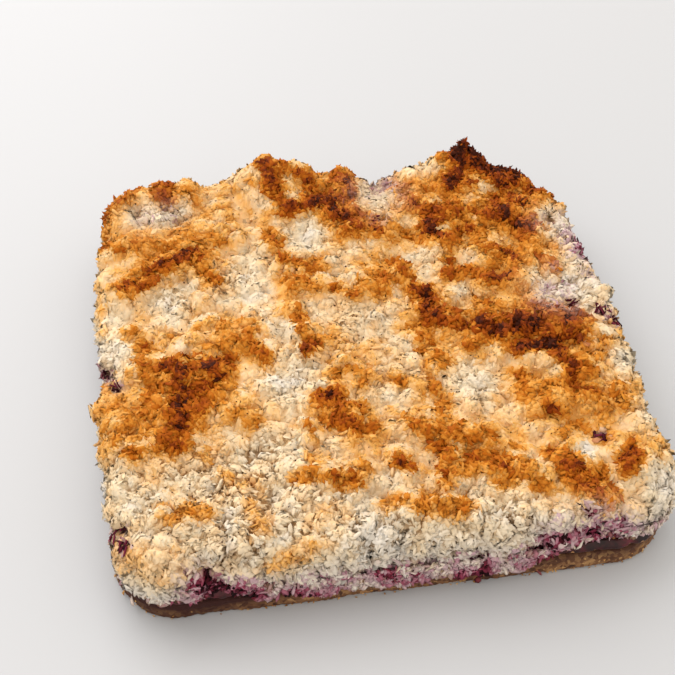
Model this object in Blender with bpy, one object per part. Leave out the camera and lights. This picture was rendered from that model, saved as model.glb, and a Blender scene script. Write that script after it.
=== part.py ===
"""Raspberry coconut slice: a whole square traybake, as it comes out of its tin.

Three layers lie on each other, each a solid of its own: a thin biscuit base, a layer of raspberry jam and a
thick crust of desiccated coconut. The crust is crumbly: it has round lumps all over, and ridges and peaks
that stand proud and brown first in the oven. Its largest crumbs and shreds of coconut are fused to it.

Units are metres, +Z is up, and the front is towards -Y. The base stands on Z = 0 at the origin.
"""

import math
import random

import bmesh
import bpy
import numpy as np
from mathutils import Matrix, Vector

MM = 0.001

# The tin and the layers
TIN_SIDE = 200 * MM
CORNER_RADIUS = 24 * MM
BASE_THICKNESS = 8 * MM
JAM_THICKNESS = 4.4 * MM
CRUST_THICKNESS = 17.6 * MM
LAYER_GAP = 0.3 * MM

# The coconut crust
SHOULDER_RADIUS = 8 * MM
CRUST_SEGMENTS = 60
RIDGE_RISE = 5 * MM
CLUMP_SIZE = 10 * MM
CLUMP_RISE = 3.6 * MM
SWELL_SIZE = 34 * MM
SWELL_RISE = 1.6 * MM
FOOT_RISE = 3 * MM

# The largest crumbs and shreds of coconut on the crust
CRUMB_COUNT = 42
CRUMB_RADIUS_MAX = 4.4 * MM
CRUMB_RADIUS_MIN = 2.6 * MM
CRUMB_ROUGHNESS = 0.25
SHRED_COUNT = 96
SHRED_LENGTH_MAX = 6 * MM
SHRED_LENGTH_MIN = 4 * MM
SHRED_WIDTH = 1.9 * MM
SHRED_THICKNESS = 1 * MM
SHRED_TILT_MIN = 15
SHRED_TILT_MAX = 60
SHRED_SEED = 7

# The base and the jam
LAYER_SEGMENTS = 84
BASE_EDGE_RADIUS = 1.6 * MM
BASE_ROUGHNESS = 0.5 * MM
JAM_BULGE = 0.5 * MM
JAM_ROUGHNESS = 1.2 * MM
SIDE_LUMP_SIZE = 9 * MM

# Colours as linear RGB, with roughness
COCONUT_COLOUR = (0.72, 0.47, 0.22)
JAM_COLOUR = (0.09, 0.008, 0.025)
BISCUIT_COLOUR = (0.16, 0.075, 0.032)

# Ridges that stand proud of the crust, in millimetres from the middle: where each starts and ends, its
# half width, and its height as a share of RIDGE_RISE. They are laid out on the level of the flat crust, as seen
# from above the front. Their crests stand higher than that level, so they lie nearer to the front by the shift.
CREST_SHIFT = (-0.8, -4.5)
RIDGES = (
    (-94, 90, -84, 98, 7, 0.7),
    (-76, 98, -62, 96, 8, 0.7),
    (-99, 64, -84, 66, 5, 0.6),
    (-78, 66, -44, 67, 6, 0.5),
    (-92, 37, -62, 56, 7, 0.9),
    (-58, 50, -57, 32, 6, 0.6),
    (-89, 13, -86, -8, 5, 0.6),
    (-58, 6, -42, 4, 11, 0.6),
    (-84, -7, -58, -12, 8, 0.9),
    (-75, -22, -71, -42, 8, 0.9),
    (-98, -31, -84, -46, 9, 0.7),
    (-54, -22, -46, -34, 9, 0.4),
    (-77, -76, -68, -78, 5, 0.6),
    (-24, 98, -22, 84, 8, 0.9),
    (-16, 93, -6, 95, 8, 0.7),
    (-20, 79, 5, 72, 8, 1.0),
    (4, 99, 5, 86, 5, 0.8),
    (2, 64, 20, 58, 6, 0.8),
    (-26, 58, -14, 40, 7, 0.6),
    (-20, 33, 2, 22, 5, 0.8),
    (5, 30, 14, 26, 5, 0.6),
    (24, 34, 29, 22, 5, 0.7),
    (29, 12, 38, 3, 6, 0.9),
    (-22, 9, -18, -7, 5, 0.7),
    (-10, -17, -3, -24, 6, 0.6),
    (-17, -28, -6, -48, 6, 0.8),
    (-26, -62, -10, -67, 5, 0.7),
    (5, -63, 6, -69, 4, 0.7),
    (14, -48, 40, -58, 6, 0.7),
    (23, -65, 19, -75, 4, 0.6),
    (33, -68, 52, -79, 5, 0.7),
    (1, -84, 27, -88, 5, 0.6),
    (54, 96, 66, 98, 7, 1.0),
    (56, 84, 85, 90, 8, 0.9),
    (38, 70, 43, 52, 8, 0.9),
    (52, 66, 82, 64, 9, 0.8),
    (82, 56, 80, 44, 6, 0.7),
    (58, 42, 72, 30, 8, 0.6),
    (56, 22, 72, 22, 5, 0.8),
    (44, 30, 54, 28, 5, 0.5),
    (47, -8, 86, -5, 8, 1.0),
    (60, -16, 80, -30, 8, 0.8),
    (60, -42, 88, -44, 7, 0.6),
    (62, -73, 70, -87, 7, 0.8),
    (86, -77, 90, -75, 5, 0.8),
)

# Broad peaks, and hollows with a negative height, in millimetres: middle, half width, height.
PEAKS = (
    (-28, 97, 14, 11),
    (-12, 97, 9, 4),
    (-2, 98, 5, -2.5),
    (7, 98, 5, 5),
    (60, 97, 9.5, 4.6),
    (-80, 95, 16, 3.5),
    (25, 95, 8.5, -10),
    (-49, 99, 7, -1),
    (88, 94, 14, -8),
    (-40, 10, 14, -1.5),
    (-60, -56, 18, -1.5),
    (38, -36, 13, -1.5),
    (88, 14, 12, -2),
    (84, -90, 14, -3.5),
)

# Where the crust is drawn back from the rim and bares the jam, or hangs over it with a negative depth, in
# millimetres: middle, half width, depth.
BARE_RIMS = (
    (71, -101, 15, 4.5),
    (97, -86, 9, -1.5),
    (-99, -80, 7, 4.5),
    (-64, -100, 7, 3),
    (98, 22, 9, 2),
    (-100, -6, 5, 3.5),
    (-101, 78, 26, 3),
    (-101, -58, 22, 2),
    (-100, 20, 75, -1.6),
    (100, 88, 14, 6.5),
    (101, 57, 14, 2),
    (101, 10, 50, -5.4),
)


def cell_random(cells, seed):
    """A repeatable random number from 0 to 1 for each row of whole numbers."""
    mixed = cells[..., 0] * 12.9898 + cells[..., 1] * 78.233 + cells[..., 2] * 37.719 + seed * 19.19
    return np.modf(np.abs(np.sin(mixed) * 43758.5453))[0]


def nearest_cells(points, size, seed):
    """How far each point is from the two nearest of a field of scattered centres, a size apart on average."""
    places = points / size
    corner = np.floor(places)
    nearest = np.full(len(points), 9.0)
    second = np.full(len(points), 9.0)
    for step in np.ndindex(3, 3, 3):
        cell = corner + np.array(step) - 1
        centre = cell + np.stack([cell_random(cell, seed + axis) for axis in range(3)], axis=-1)
        distance = np.linalg.norm(places - centre, axis=-1)
        second = np.minimum(second, np.maximum(nearest, distance))
        nearest = np.minimum(nearest, distance)
    return nearest, second


def smooth_noise(points, size, seed):
    """A smooth random field from -1 to 1 that changes over about one size."""
    places = points / size
    corner = np.floor(places)
    blend = places - corner
    blend = blend * blend * (3 - 2 * blend)
    total = np.zeros(len(points))
    for step in np.ndindex(2, 2, 2):
        weight = np.prod(np.where(step, blend, 1 - blend), axis=-1)
        total += weight * cell_random(corner + np.array(step), seed)
    return 2 * total - 1


def smoothstep(value):
    """A soft step from 0 at 0 to 1 at 1."""
    held = np.clip(value, 0, 1)
    return held * held * (3 - 2 * held)


def distance_to_line(places, start, end):
    """How far each place is from a straight line between two points, in the plane."""
    along = end - start
    share = np.clip((places - start) @ along / max(along @ along, 1e-12), 0, 1)
    return np.linalg.norm(places - (start + share[:, None] * along), axis=1)


def ridge_height(places):
    """The rise of the ridges over each place: each is a rounded bank, and the highest one counts."""
    height = np.zeros(len(places))
    laid_out = places - np.array(CREST_SHIFT) * MM
    for x0, y0, x1, y1, half_width, share in RIDGES:
        away = distance_to_line(laid_out, np.array((x0, y0)) * MM, np.array((x1, y1)) * MM)
        bank = smoothstep(1.45 - away / (half_width * MM))
        height = np.maximum(height, bank * share * RIDGE_RISE)
    return height


def peak_height(places):
    """The rise of the broad peaks and the fall of the hollows, as bell curves that add up."""
    height = np.zeros(len(places))
    for x, y, half_width, rise in PEAKS:
        away = np.linalg.norm(places - np.array((x, y)) * MM, axis=1) / (half_width * MM)
        height += rise * MM * np.exp(-away * away)
    return height


def bare_depth(places):
    """How far the crust is drawn back from the rim at each place."""
    depth = np.zeros(len(places))
    for x, y, half_width, most in BARE_RIMS:
        away = np.linalg.norm(places - np.array((x, y)) * MM, axis=1) / (half_width * MM)
        depth += most * MM * np.exp(-away * away)
    return depth


def tin_outline(direction):
    """Points and outward normals of the tin's rounded square, for points on the edge of a unit square."""
    square = direction * TIN_SIDE / 2
    inner = TIN_SIDE / 2 - CORNER_RADIUS
    centre = np.clip(square, -inner, inner)
    normal = square - centre
    normal /= np.linalg.norm(normal, axis=1)[:, None]
    return centre + normal * CORNER_RADIUS, normal


def crust_surface(spread):
    """The crust's surface for points of a square from -1 to 1: flat top, round shoulder and upright side.

    A point's larger coordinate says how far it is from the middle of the top towards the foot of the side,
    and its direction says where it is round the tin. Ridges and peaks lift it, and lumps push it outwards.
    Returns the points and the plain shape's outward normals.
    """
    reach = np.abs(spread).max(axis=1)
    direction = spread / np.maximum(reach, 1e-9)[:, None]
    direction[reach < 1e-9] = (1, 0)
    rim, normal = tin_outline(direction)
    foot = BASE_THICKNESS + JAM_THICKNESS + 2 * LAYER_GAP
    top = foot + CRUST_THICKNESS

    side_height = CRUST_THICKNESS - SHOULDER_RADIUS
    shoulder_length = SHOULDER_RADIUS * math.pi / 2
    top_length = TIN_SIDE / 2 - SHOULDER_RADIUS
    travel = reach * (top_length + shoulder_length + side_height)
    turn = np.clip((travel - top_length) / SHOULDER_RADIUS, 0, math.pi / 2)
    drop = np.clip(travel - top_length - shoulder_length, 0, side_height)

    flat_share = np.clip(travel / top_length, 0, 1)
    inset = SHOULDER_RADIUS * (1 - np.sin(turn)) + bare_depth(rim) * flat_share ** 8
    rounded = (rim - normal * inset[:, None]) * flat_share[:, None]
    square = direction * (flat_share * (TIN_SIDE / 2 - SHOULDER_RADIUS))[:, None]
    place = square + (rounded - square) * (flat_share ** 3)[:, None]
    height = top - SHOULDER_RADIUS * (1 - np.cos(turn)) - drop
    points = np.column_stack([place, height])
    outward = np.column_stack([normal * np.sin(turn)[:, None], np.cos(turn)])

    nearest, second = nearest_cells(points, CLUMP_SIZE, 3)
    clumps = CLUMP_RISE * (1 - nearest * nearest * 1.4) * smoothstep((second - nearest) * 4 + 0.35)
    swell = SWELL_RISE * smooth_noise(points, SWELL_SIZE, 11)
    above_foot = (points[:, 2] - foot) / FOOT_RISE
    push = (clumps + swell) * (0.35 + 0.65 * smoothstep(above_foot)) - 0.4 * CLUMP_RISE
    lift = (ridge_height(place) + peak_height(place)) * smoothstep((height - foot) / CRUST_THICKNESS)
    moved = points + outward * push[:, None]
    moved[:, 2] += lift
    moved[:, :2] += normal * (0.12 * lift * np.sin(turn))[:, None]
    at_foot = reach > 1 - 1e-6
    moved[at_foot, 2] = foot
    moved[:, 2] = np.maximum(moved[:, 2], foot)
    return moved, outward


def new_object(name, body, colour, roughness):
    """An object with its own material, made from a bmesh."""
    mesh = bpy.data.meshes.new(name)
    body.to_mesh(mesh)
    body.free()
    made = bpy.data.objects.new(name, mesh)
    material = bpy.data.materials.new(name)
    material.use_nodes = True
    shader = material.node_tree.nodes["Principled BSDF"]
    shader.inputs["Base Color"].default_value = (*colour, 1)
    shader.inputs["Roughness"].default_value = roughness
    mesh.materials.append(material)
    return made


def place_vertices(body, vertices, points):
    """Moves the bmesh's vertices to these points."""
    for vertex, point in zip(vertices, points):
        vertex.co = point


def layer(name, rings, roughness, lump_seed, colour, shine):
    """A layer of the slice: one ring of the tin's outline for each inset and height, closed at both ends."""
    body = bmesh.new()
    made = bmesh.ops.create_circle(body, segments=LAYER_SEGMENTS, radius=1)
    loop = list(made["verts"])
    edges = list(body.edges)
    circle = np.array([vertex.co.xy for vertex in loop])
    direction = circle / np.abs(circle).max(axis=1)[:, None]
    rim, normal = tin_outline(direction)
    body.faces.new(loop).normal_flip()
    for number, (inset, height) in enumerate(rings):
        if number:
            grown = bmesh.ops.extrude_edge_only(body, edges=edges)["geom"]
            loop = ordered_above(loop, grown)
            edges = [part for part in grown if isinstance(part, bmesh.types.BMEdge) and part.verts[0] in loop
                     and part.verts[1] in loop]
        points = np.column_stack([rim - normal * inset, np.full(len(rim), height)])
        points[:, :2] += normal * (roughness * smooth_noise(points, SIDE_LUMP_SIZE, lump_seed))[:, None]
        place_vertices(body, loop, points)
    body.faces.new(loop)
    bmesh.ops.recalc_face_normals(body, faces=body.faces)
    return new_object(name, body, colour, shine)


def ordered_above(loop, grown):
    """The vertices that an extrusion made, in the order of the loop that they grew from."""
    fresh = {part for part in grown if isinstance(part, bmesh.types.BMVert)}
    return [next(edge.other_vert(old) for edge in old.link_edges if edge.other_vert(old) in fresh) for old in loop]


def biscuit_base():
    """The base: a thin slab with a small round lower edge, rough round its side."""
    edge = BASE_EDGE_RADIUS
    rings = (
        (edge, 0),
        (edge * 0.3, edge * 0.3),
        (0, edge),
        (0, BASE_THICKNESS * 0.6),
        (0.4 * MM, BASE_THICKNESS),
    )
    return layer("biscuit_base", rings, BASE_ROUGHNESS, 21, BISCUIT_COLOUR, 0.8)


def raspberry_jam():
    """The jam: it bulges a little between the base and the crust."""
    low = BASE_THICKNESS + LAYER_GAP
    rings = (
        (1.2 * MM, low),
        (-JAM_BULGE, low + JAM_THICKNESS * 0.35),
        (-JAM_BULGE * 0.4, low + JAM_THICKNESS * 0.75),
        (1.5 * MM, low + JAM_THICKNESS),
    )
    return layer("raspberry_jam", rings, JAM_ROUGHNESS, 33, JAM_COLOUR, 0.25)


def coconut_crust():
    """The crust: a fine grid bent over the top and the sides, then closed flat underneath."""
    body = bmesh.new()
    bmesh.ops.create_grid(body, x_segments=CRUST_SEGMENTS, y_segments=CRUST_SEGMENTS, size=1)
    vertices = list(body.verts)
    spread = np.array([vertex.co.xy for vertex in vertices], dtype=float)
    points, _ = crust_surface(spread)
    place_vertices(body, vertices, points)
    rim = [edge for edge in body.edges if edge.is_boundary]
    bmesh.ops.holes_fill(body, edges=rim, sides=0)
    bmesh.ops.recalc_face_normals(body, faces=body.faces)
    return new_object("coconut_crust", body, COCONUT_COLOUR, 0.85)


def spread_evenly(count, start):
    """Evenly spread points of the square, by the golden rule for two dimensions."""
    steps = np.arange(count) + start
    return np.column_stack([steps * 0.7548776662 % 1, steps * 0.5698402910 % 1]) * 1.84 - 0.92


def coconut_crumbs(toppings):
    """Adds the crumbs: rough little balls, half sunk in the crust, the largest first."""
    points, outward = crust_surface(spread_evenly(CRUMB_COUNT, 0.5))
    radii = np.linspace(CRUMB_RADIUS_MAX, CRUMB_RADIUS_MIN, CRUMB_COUNT)
    for number, (point, normal, radius) in enumerate(zip(points, outward, radii)):
        body = bmesh.new()
        bmesh.ops.create_icosphere(body, subdivisions=1, radius=radius)
        shape = np.array([vertex.co for vertex in body.verts])
        uneven = 1 + CRUMB_ROUGHNESS * smooth_noise(shape + point, radius, number)
        place_vertices(body, body.verts, shape * uneven[:, None] + point - normal * radius * 0.15)
        toppings.objects.link(new_object(f"crumb_{number}", body, COCONUT_COLOUR, 0.85))


def coconut_shreds(toppings):
    """Adds the shreds: short thick strips that lie tilted and turned on the crust, the largest first."""
    points, outward = crust_surface(spread_evenly(SHRED_COUNT, CRUMB_COUNT + 0.5))
    lengths = np.linspace(SHRED_LENGTH_MAX, SHRED_LENGTH_MIN, SHRED_COUNT)
    draws = random.Random(SHRED_SEED)
    for number, (point, normal, length) in enumerate(zip(points, outward, lengths)):
        tilt = Matrix.Rotation(math.radians(draws.uniform(SHRED_TILT_MIN, SHRED_TILT_MAX)), 3, "Y")
        turn = Matrix.Rotation(draws.uniform(0, 2 * math.pi), 3, "Z")
        upright = Vector((0, 0, 1)).rotation_difference(Vector(normal)).to_matrix()
        place = Matrix.Translation(point + normal * SHRED_THICKNESS * 0.7) @ (upright @ turn @ tilt).to_4x4()
        size = Matrix.Diagonal((length, SHRED_WIDTH, SHRED_THICKNESS, 1))
        body = bmesh.new()
        bmesh.ops.create_cube(body, size=1, matrix=place @ size)
        toppings.objects.link(new_object(f"shred_{number}", body, COCONUT_COLOUR, 0.85))


def fuse(target, pieces):
    """Joins the pieces of a collection to the target with one Boolean, and removes them."""
    join = target.modifiers.new("join", "BOOLEAN")
    join.operation = "UNION"
    join.operand_type = "COLLECTION"
    join.collection = pieces
    join.solver = "MANIFOLD"
    bpy.context.view_layer.update()
    graph = bpy.context.evaluated_depsgraph_get()
    joined = bpy.data.meshes.new_from_object(target.evaluated_get(graph))
    target.modifiers.clear()
    target.data = joined
    for piece in list(pieces.objects):
        bpy.data.objects.remove(piece)
    bpy.data.collections.remove(pieces)


def keep_largest(target):
    """Drops every loose scrap and sealed hollow, which leaves the one body with the most vertices."""
    body = bmesh.new()
    body.from_mesh(target.data)
    waiting = set(body.verts)
    groups = []
    while waiting:
        group = {waiting.pop()}
        edge_of_group = set(group)
        while edge_of_group:
            reached = {edge.other_vert(vertex) for vertex in edge_of_group for edge in vertex.link_edges}
            edge_of_group = reached - group
            group |= edge_of_group
        waiting -= group
        groups.append(group)
    groups.sort(key=len)
    for group in groups[:-1]:
        bmesh.ops.delete(body, geom=list(group), context="VERTS")
    body.to_mesh(target.data)
    body.free()


def centre_on_origin(made):
    """Moves all the meshes so that the middle of their common box stands over the origin."""
    corners = np.array([vertex.co for item in made for vertex in item.data.vertices])
    middle = (corners.min(axis=0) + corners.max(axis=0)) / 2
    for item in made:
        item.data.transform(Matrix.Translation((-middle[0], -middle[1], 0)))


def main():
    """Clears the scene and builds the slice."""
    for item in list(bpy.data.objects):
        bpy.data.objects.remove(item)
    slice_parts = bpy.data.collections.new("raspberry_coconut_slice")
    toppings = bpy.data.collections.new("toppings")
    bpy.context.scene.collection.children.link(slice_parts)
    bpy.context.scene.collection.children.link(toppings)
    crust = coconut_crust()
    for made in (biscuit_base(), raspberry_jam(), crust):
        slice_parts.objects.link(made)
    coconut_crumbs(toppings)
    coconut_shreds(toppings)
    fuse(crust, toppings)
    keep_largest(crust)
    centre_on_origin(slice_parts.objects)


main()
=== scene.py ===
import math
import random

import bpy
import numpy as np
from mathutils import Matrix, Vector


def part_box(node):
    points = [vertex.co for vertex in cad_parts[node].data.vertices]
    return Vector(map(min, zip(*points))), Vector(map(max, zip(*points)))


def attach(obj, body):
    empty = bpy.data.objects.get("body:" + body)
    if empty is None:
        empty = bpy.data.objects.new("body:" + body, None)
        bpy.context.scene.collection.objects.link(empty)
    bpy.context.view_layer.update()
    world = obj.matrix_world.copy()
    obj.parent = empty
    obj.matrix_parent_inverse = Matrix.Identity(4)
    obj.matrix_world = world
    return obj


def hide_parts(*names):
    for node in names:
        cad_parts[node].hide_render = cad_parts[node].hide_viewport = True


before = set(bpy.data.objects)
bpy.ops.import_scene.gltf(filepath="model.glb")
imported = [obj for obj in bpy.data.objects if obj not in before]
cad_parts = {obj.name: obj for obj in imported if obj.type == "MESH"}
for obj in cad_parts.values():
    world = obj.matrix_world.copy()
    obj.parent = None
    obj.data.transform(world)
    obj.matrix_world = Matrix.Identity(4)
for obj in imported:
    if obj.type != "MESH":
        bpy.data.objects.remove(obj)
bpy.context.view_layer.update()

# %% [markdown]
# # A raspberry coconut slice
# This lesson dresses a whole square traybake: a thin biscuit base, a layer of raspberry jam and a thick
# crust of desiccated coconut that has browned in the oven. The solids of the three layers are loaded above
# as a fixed frame. What the eye reads as food is finer than they are, so here each layer gets its real
# surface, and the crust gets tens of thousands of flakes, each with the colour that the oven gave its
# place.

MM = 0.001

# %% [markdown]
# ## Where things are
# The slice was baked in a square tin with round corners, so every shape below is worked out from the middle
# of that tin. The frame has its origin under the middle of the whole box instead, so we read from the
# base's own box how far the tin's middle lies from it.

# %% The tin and the layers
TIN_SIDE = 200 * MM
CORNER_RADIUS = 24 * MM

base_low, base_high = (np.array(corner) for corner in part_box("biscuit_base"))
jam_low, jam_high = (np.array(corner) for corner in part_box("raspberry_jam"))
crust_low, _ = (np.array(corner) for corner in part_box("coconut_crust"))
TIN_MIDDLE = np.array([*(base_low + base_high)[:2] / 2, 0])
BASE_TOP = base_high[2]
JAM_FOOT, JAM_TOP = jam_low[2], jam_high[2]
CRUST_FOOT = crust_low[2]
print("tin middle (mm):", (TIN_MIDDLE / MM).round(2), "crust from z =", round(CRUST_FOOT / MM, 2), "mm")

# %% [markdown]
# ## Randomness that repeats
# Food is uneven, and the unevenness has a size: flakes of 2 to 3 mm, lumps of 10 mm, swells of 30 mm. Two
# fields give all of it. Smooth noise blends random values between the corners of a grid of cubes. The cell
# field measures the distance to the nearest of many scattered centres, which gives round lumps with creases
# between them. Both draw their numbers from the place alone, so they come out the same in every run. The
# last number given to either is its seed, which picks the pattern.

# %% Random fields
def cell_random(cells, seed):
    """A repeatable random number from 0 to 1 for each row of whole numbers.

    It is what is left behind the point of a large multiple of the sine of their mix.
    """
    mixed = cells[..., 0] * 12.9898 + cells[..., 1] * 78.233 + cells[..., 2] * 37.719 + seed * 19.19
    return np.modf(np.abs(np.sin(mixed) * 43758.5453))[0]


def nearest_cells(points, size, seed):
    """Distances from each point to the two nearest of a field of scattered centres, in units of size."""
    places = points / size
    corner = np.floor(places)
    nearest = np.full(len(points), 9.0)
    second = np.full(len(points), 9.0)
    for step in np.ndindex(3, 3, 3):
        cell = corner + np.array(step) - 1
        centre = cell + np.stack([cell_random(cell, seed + axis) for axis in range(3)], axis=-1)
        distance = np.linalg.norm(places - centre, axis=-1)
        second = np.minimum(second, np.maximum(nearest, distance))
        nearest = np.minimum(nearest, distance)
    return nearest, second


def smooth_noise(points, size, seed):
    """Random values from -1 to 1 at the corners of cubes of this size, blended in between."""
    places = points / size
    corner = np.floor(places)
    blend = places - corner
    blend = blend * blend * (3 - 2 * blend)
    total = np.zeros(len(points))
    for step in np.ndindex(2, 2, 2):
        weight = np.prod(np.where(step, blend, 1 - blend), axis=-1)
        total += weight * cell_random(corner + np.array(step), seed)
    return 2 * total - 1


def smoothstep(value):
    """A soft step from 0 at 0 to 1 at 1: three times the square less twice the cube."""
    held = np.clip(value, 0, 1)
    return held * held * (3 - 2 * held)


# %% [markdown]
# ## The form of the crust
# The crust could be sculpted by hand, but then the flakes would have to be dropped on it one by one. A
# formula is better here: one function gives the crust's surface for every point of a square, and the core,
# the flakes and the browning all use it. The square's middle is the middle of the top, and its border is
# the foot of the side. Ridges and peaks lift the surface where the coconut was heaped up, and the cell
# field gives it the lumps in which the sticky flakes clump. These are the values that the solid has, so the
# two agree everywhere.

# %% Where the crust rises
SHOULDER_RADIUS = 8 * MM
CRUST_THICKNESS = 17.6 * MM
RIDGE_RISE = 5 * MM
CLUMP_SIZE = 10 * MM
CLUMP_RISE = 3.6 * MM
CLUMP_FALL = 1.4
CLUMP_SINK = 0.4
SWELL_SIZE = 34 * MM
SWELL_RISE = 1.6 * MM
FOOT_RISE = 3 * MM
FOOT_SHARE = 0.35
OVERHANG = 0.12
BANK_REACH = 1.45

# Ridges, in millimetres from the tin's middle: start, end, half width, and height as a share of RIDGE_RISE.
# They are laid out on the level of the flat crust, as seen from above the front, and their crests stand
# higher than that level, so they lie nearer to the front by the shift.
CREST_SHIFT = np.array((-0.8, -4.5)) * MM
RIDGES = (
    (-94, 90, -84, 98, 7, 0.7),
    (-76, 98, -62, 96, 8, 0.7),
    (-99, 64, -84, 66, 5, 0.6),
    (-78, 66, -44, 67, 6, 0.5),
    (-92, 37, -62, 56, 7, 0.9),
    (-58, 50, -57, 32, 6, 0.6),
    (-89, 13, -86, -8, 5, 0.6),
    (-58, 6, -42, 4, 11, 0.6),
    (-84, -7, -58, -12, 8, 0.9),
    (-75, -22, -71, -42, 8, 0.9),
    (-98, -31, -84, -46, 9, 0.7),
    (-54, -22, -46, -34, 9, 0.4),
    (-77, -76, -68, -78, 5, 0.6),
    (-24, 98, -22, 84, 8, 0.9),
    (-16, 93, -6, 95, 8, 0.7),
    (-20, 79, 5, 72, 8, 1.0),
    (4, 99, 5, 86, 5, 0.8),
    (2, 64, 20, 58, 6, 0.8),
    (-26, 58, -14, 40, 7, 0.6),
    (-20, 33, 2, 22, 5, 0.8),
    (5, 30, 14, 26, 5, 0.6),
    (24, 34, 29, 22, 5, 0.7),
    (29, 12, 38, 3, 6, 0.9),
    (-22, 9, -18, -7, 5, 0.7),
    (-10, -17, -3, -24, 6, 0.6),
    (-17, -28, -6, -48, 6, 0.8),
    (-26, -62, -10, -67, 5, 0.7),
    (5, -63, 6, -69, 4, 0.7),
    (14, -48, 40, -58, 6, 0.7),
    (23, -65, 19, -75, 4, 0.6),
    (33, -68, 52, -79, 5, 0.7),
    (1, -84, 27, -88, 5, 0.6),
    (54, 96, 66, 98, 7, 1.0),
    (56, 84, 85, 90, 8, 0.9),
    (38, 70, 43, 52, 8, 0.9),
    (52, 66, 82, 64, 9, 0.8),
    (82, 56, 80, 44, 6, 0.7),
    (58, 42, 72, 30, 8, 0.6),
    (56, 22, 72, 22, 5, 0.8),
    (44, 30, 54, 28, 5, 0.5),
    (47, -8, 86, -5, 8, 1.0),
    (60, -16, 80, -30, 8, 0.8),
    (60, -42, 88, -44, 7, 0.6),
    (62, -73, 70, -87, 7, 0.8),
    (86, -77, 90, -75, 5, 0.8),
)

# Broad peaks, and hollows with a negative height, in millimetres: middle, half width, height.
PEAKS = (
    (-28, 97, 14, 11),
    (-12, 97, 9, 4),
    (-2, 98, 5, -2.5),
    (7, 98, 5, 5),
    (60, 97, 9.5, 4.6),
    (-80, 95, 16, 3.5),
    (25, 95, 8.5, -10),
    (-49, 99, 7, -1),
    (88, 94, 14, -8),
    (-40, 10, 14, -1.5),
    (-60, -56, 18, -1.5),
    (38, -36, 13, -1.5),
    (88, 14, 12, -2),
    (84, -90, 14, -3.5),
)

# Where the crust is drawn back from the rim and bares the jam, or hangs over it with a negative depth, in
# millimetres: middle, half width, depth.
BARE_RIMS = (
    (71, -101, 15, 4.5),
    (97, -86, 9, -1.5),
    (-99, -80, 7, 4.5),
    (-64, -100, 7, 3),
    (98, 22, 9, 2),
    (-100, -6, 5, 3.5),
    (-101, 78, 26, 3),
    (-101, -58, 22, 2),
    (-100, 20, 75, -1.6),
    (100, 88, 14, 6.5),
    (101, 57, 14, 2),
    (101, 10, 50, -5.4),
)
print(f"{len(RIDGES)} ridges, {len(PEAKS)} peaks and hollows, {len(BARE_RIMS)} changes of the rim")


# %% Banks and bells
def distance_to_line(places, start, end):
    """How far each place is from a straight line between two points, in the plane."""
    along = end - start
    share = np.clip((places - start) @ along / max(along @ along, 1e-12), 0, 1)
    return np.linalg.norm(places - (start + share[:, None] * along), axis=1)


def ridge_height(places):
    """The highest of the round banks: full along each ridge, gone at BANK_REACH half widths from it."""
    height = np.zeros(len(places))
    for x0, y0, x1, y1, half_width, share in RIDGES:
        away = distance_to_line(places - CREST_SHIFT, np.array((x0, y0)) * MM, np.array((x1, y1)) * MM)
        height = np.maximum(height, smoothstep(BANK_REACH - away / (half_width * MM)) * share * RIDGE_RISE)
    return height


def bells(places, spots):
    """The sum of bells: each spot's height times e to minus the squared distance in half widths."""
    total = np.zeros(len(places))
    for x, y, half_width, height in spots:
        away = np.linalg.norm(places - np.array((x, y)) * MM, axis=1) / (half_width * MM)
        total += height * np.exp(-away * away)
    return total


# %% The crust's surface
def tin_outline(direction):
    """Points and outward normals of the tin's rounded square, for points on the edge of a unit square."""
    square = direction * TIN_SIDE / 2
    inner = TIN_SIDE / 2 - CORNER_RADIUS
    centre = np.clip(square, -inner, inner)
    normal = square - centre
    normal /= np.linalg.norm(normal, axis=1)[:, None]
    return centre + normal * CORNER_RADIUS, normal


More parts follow.
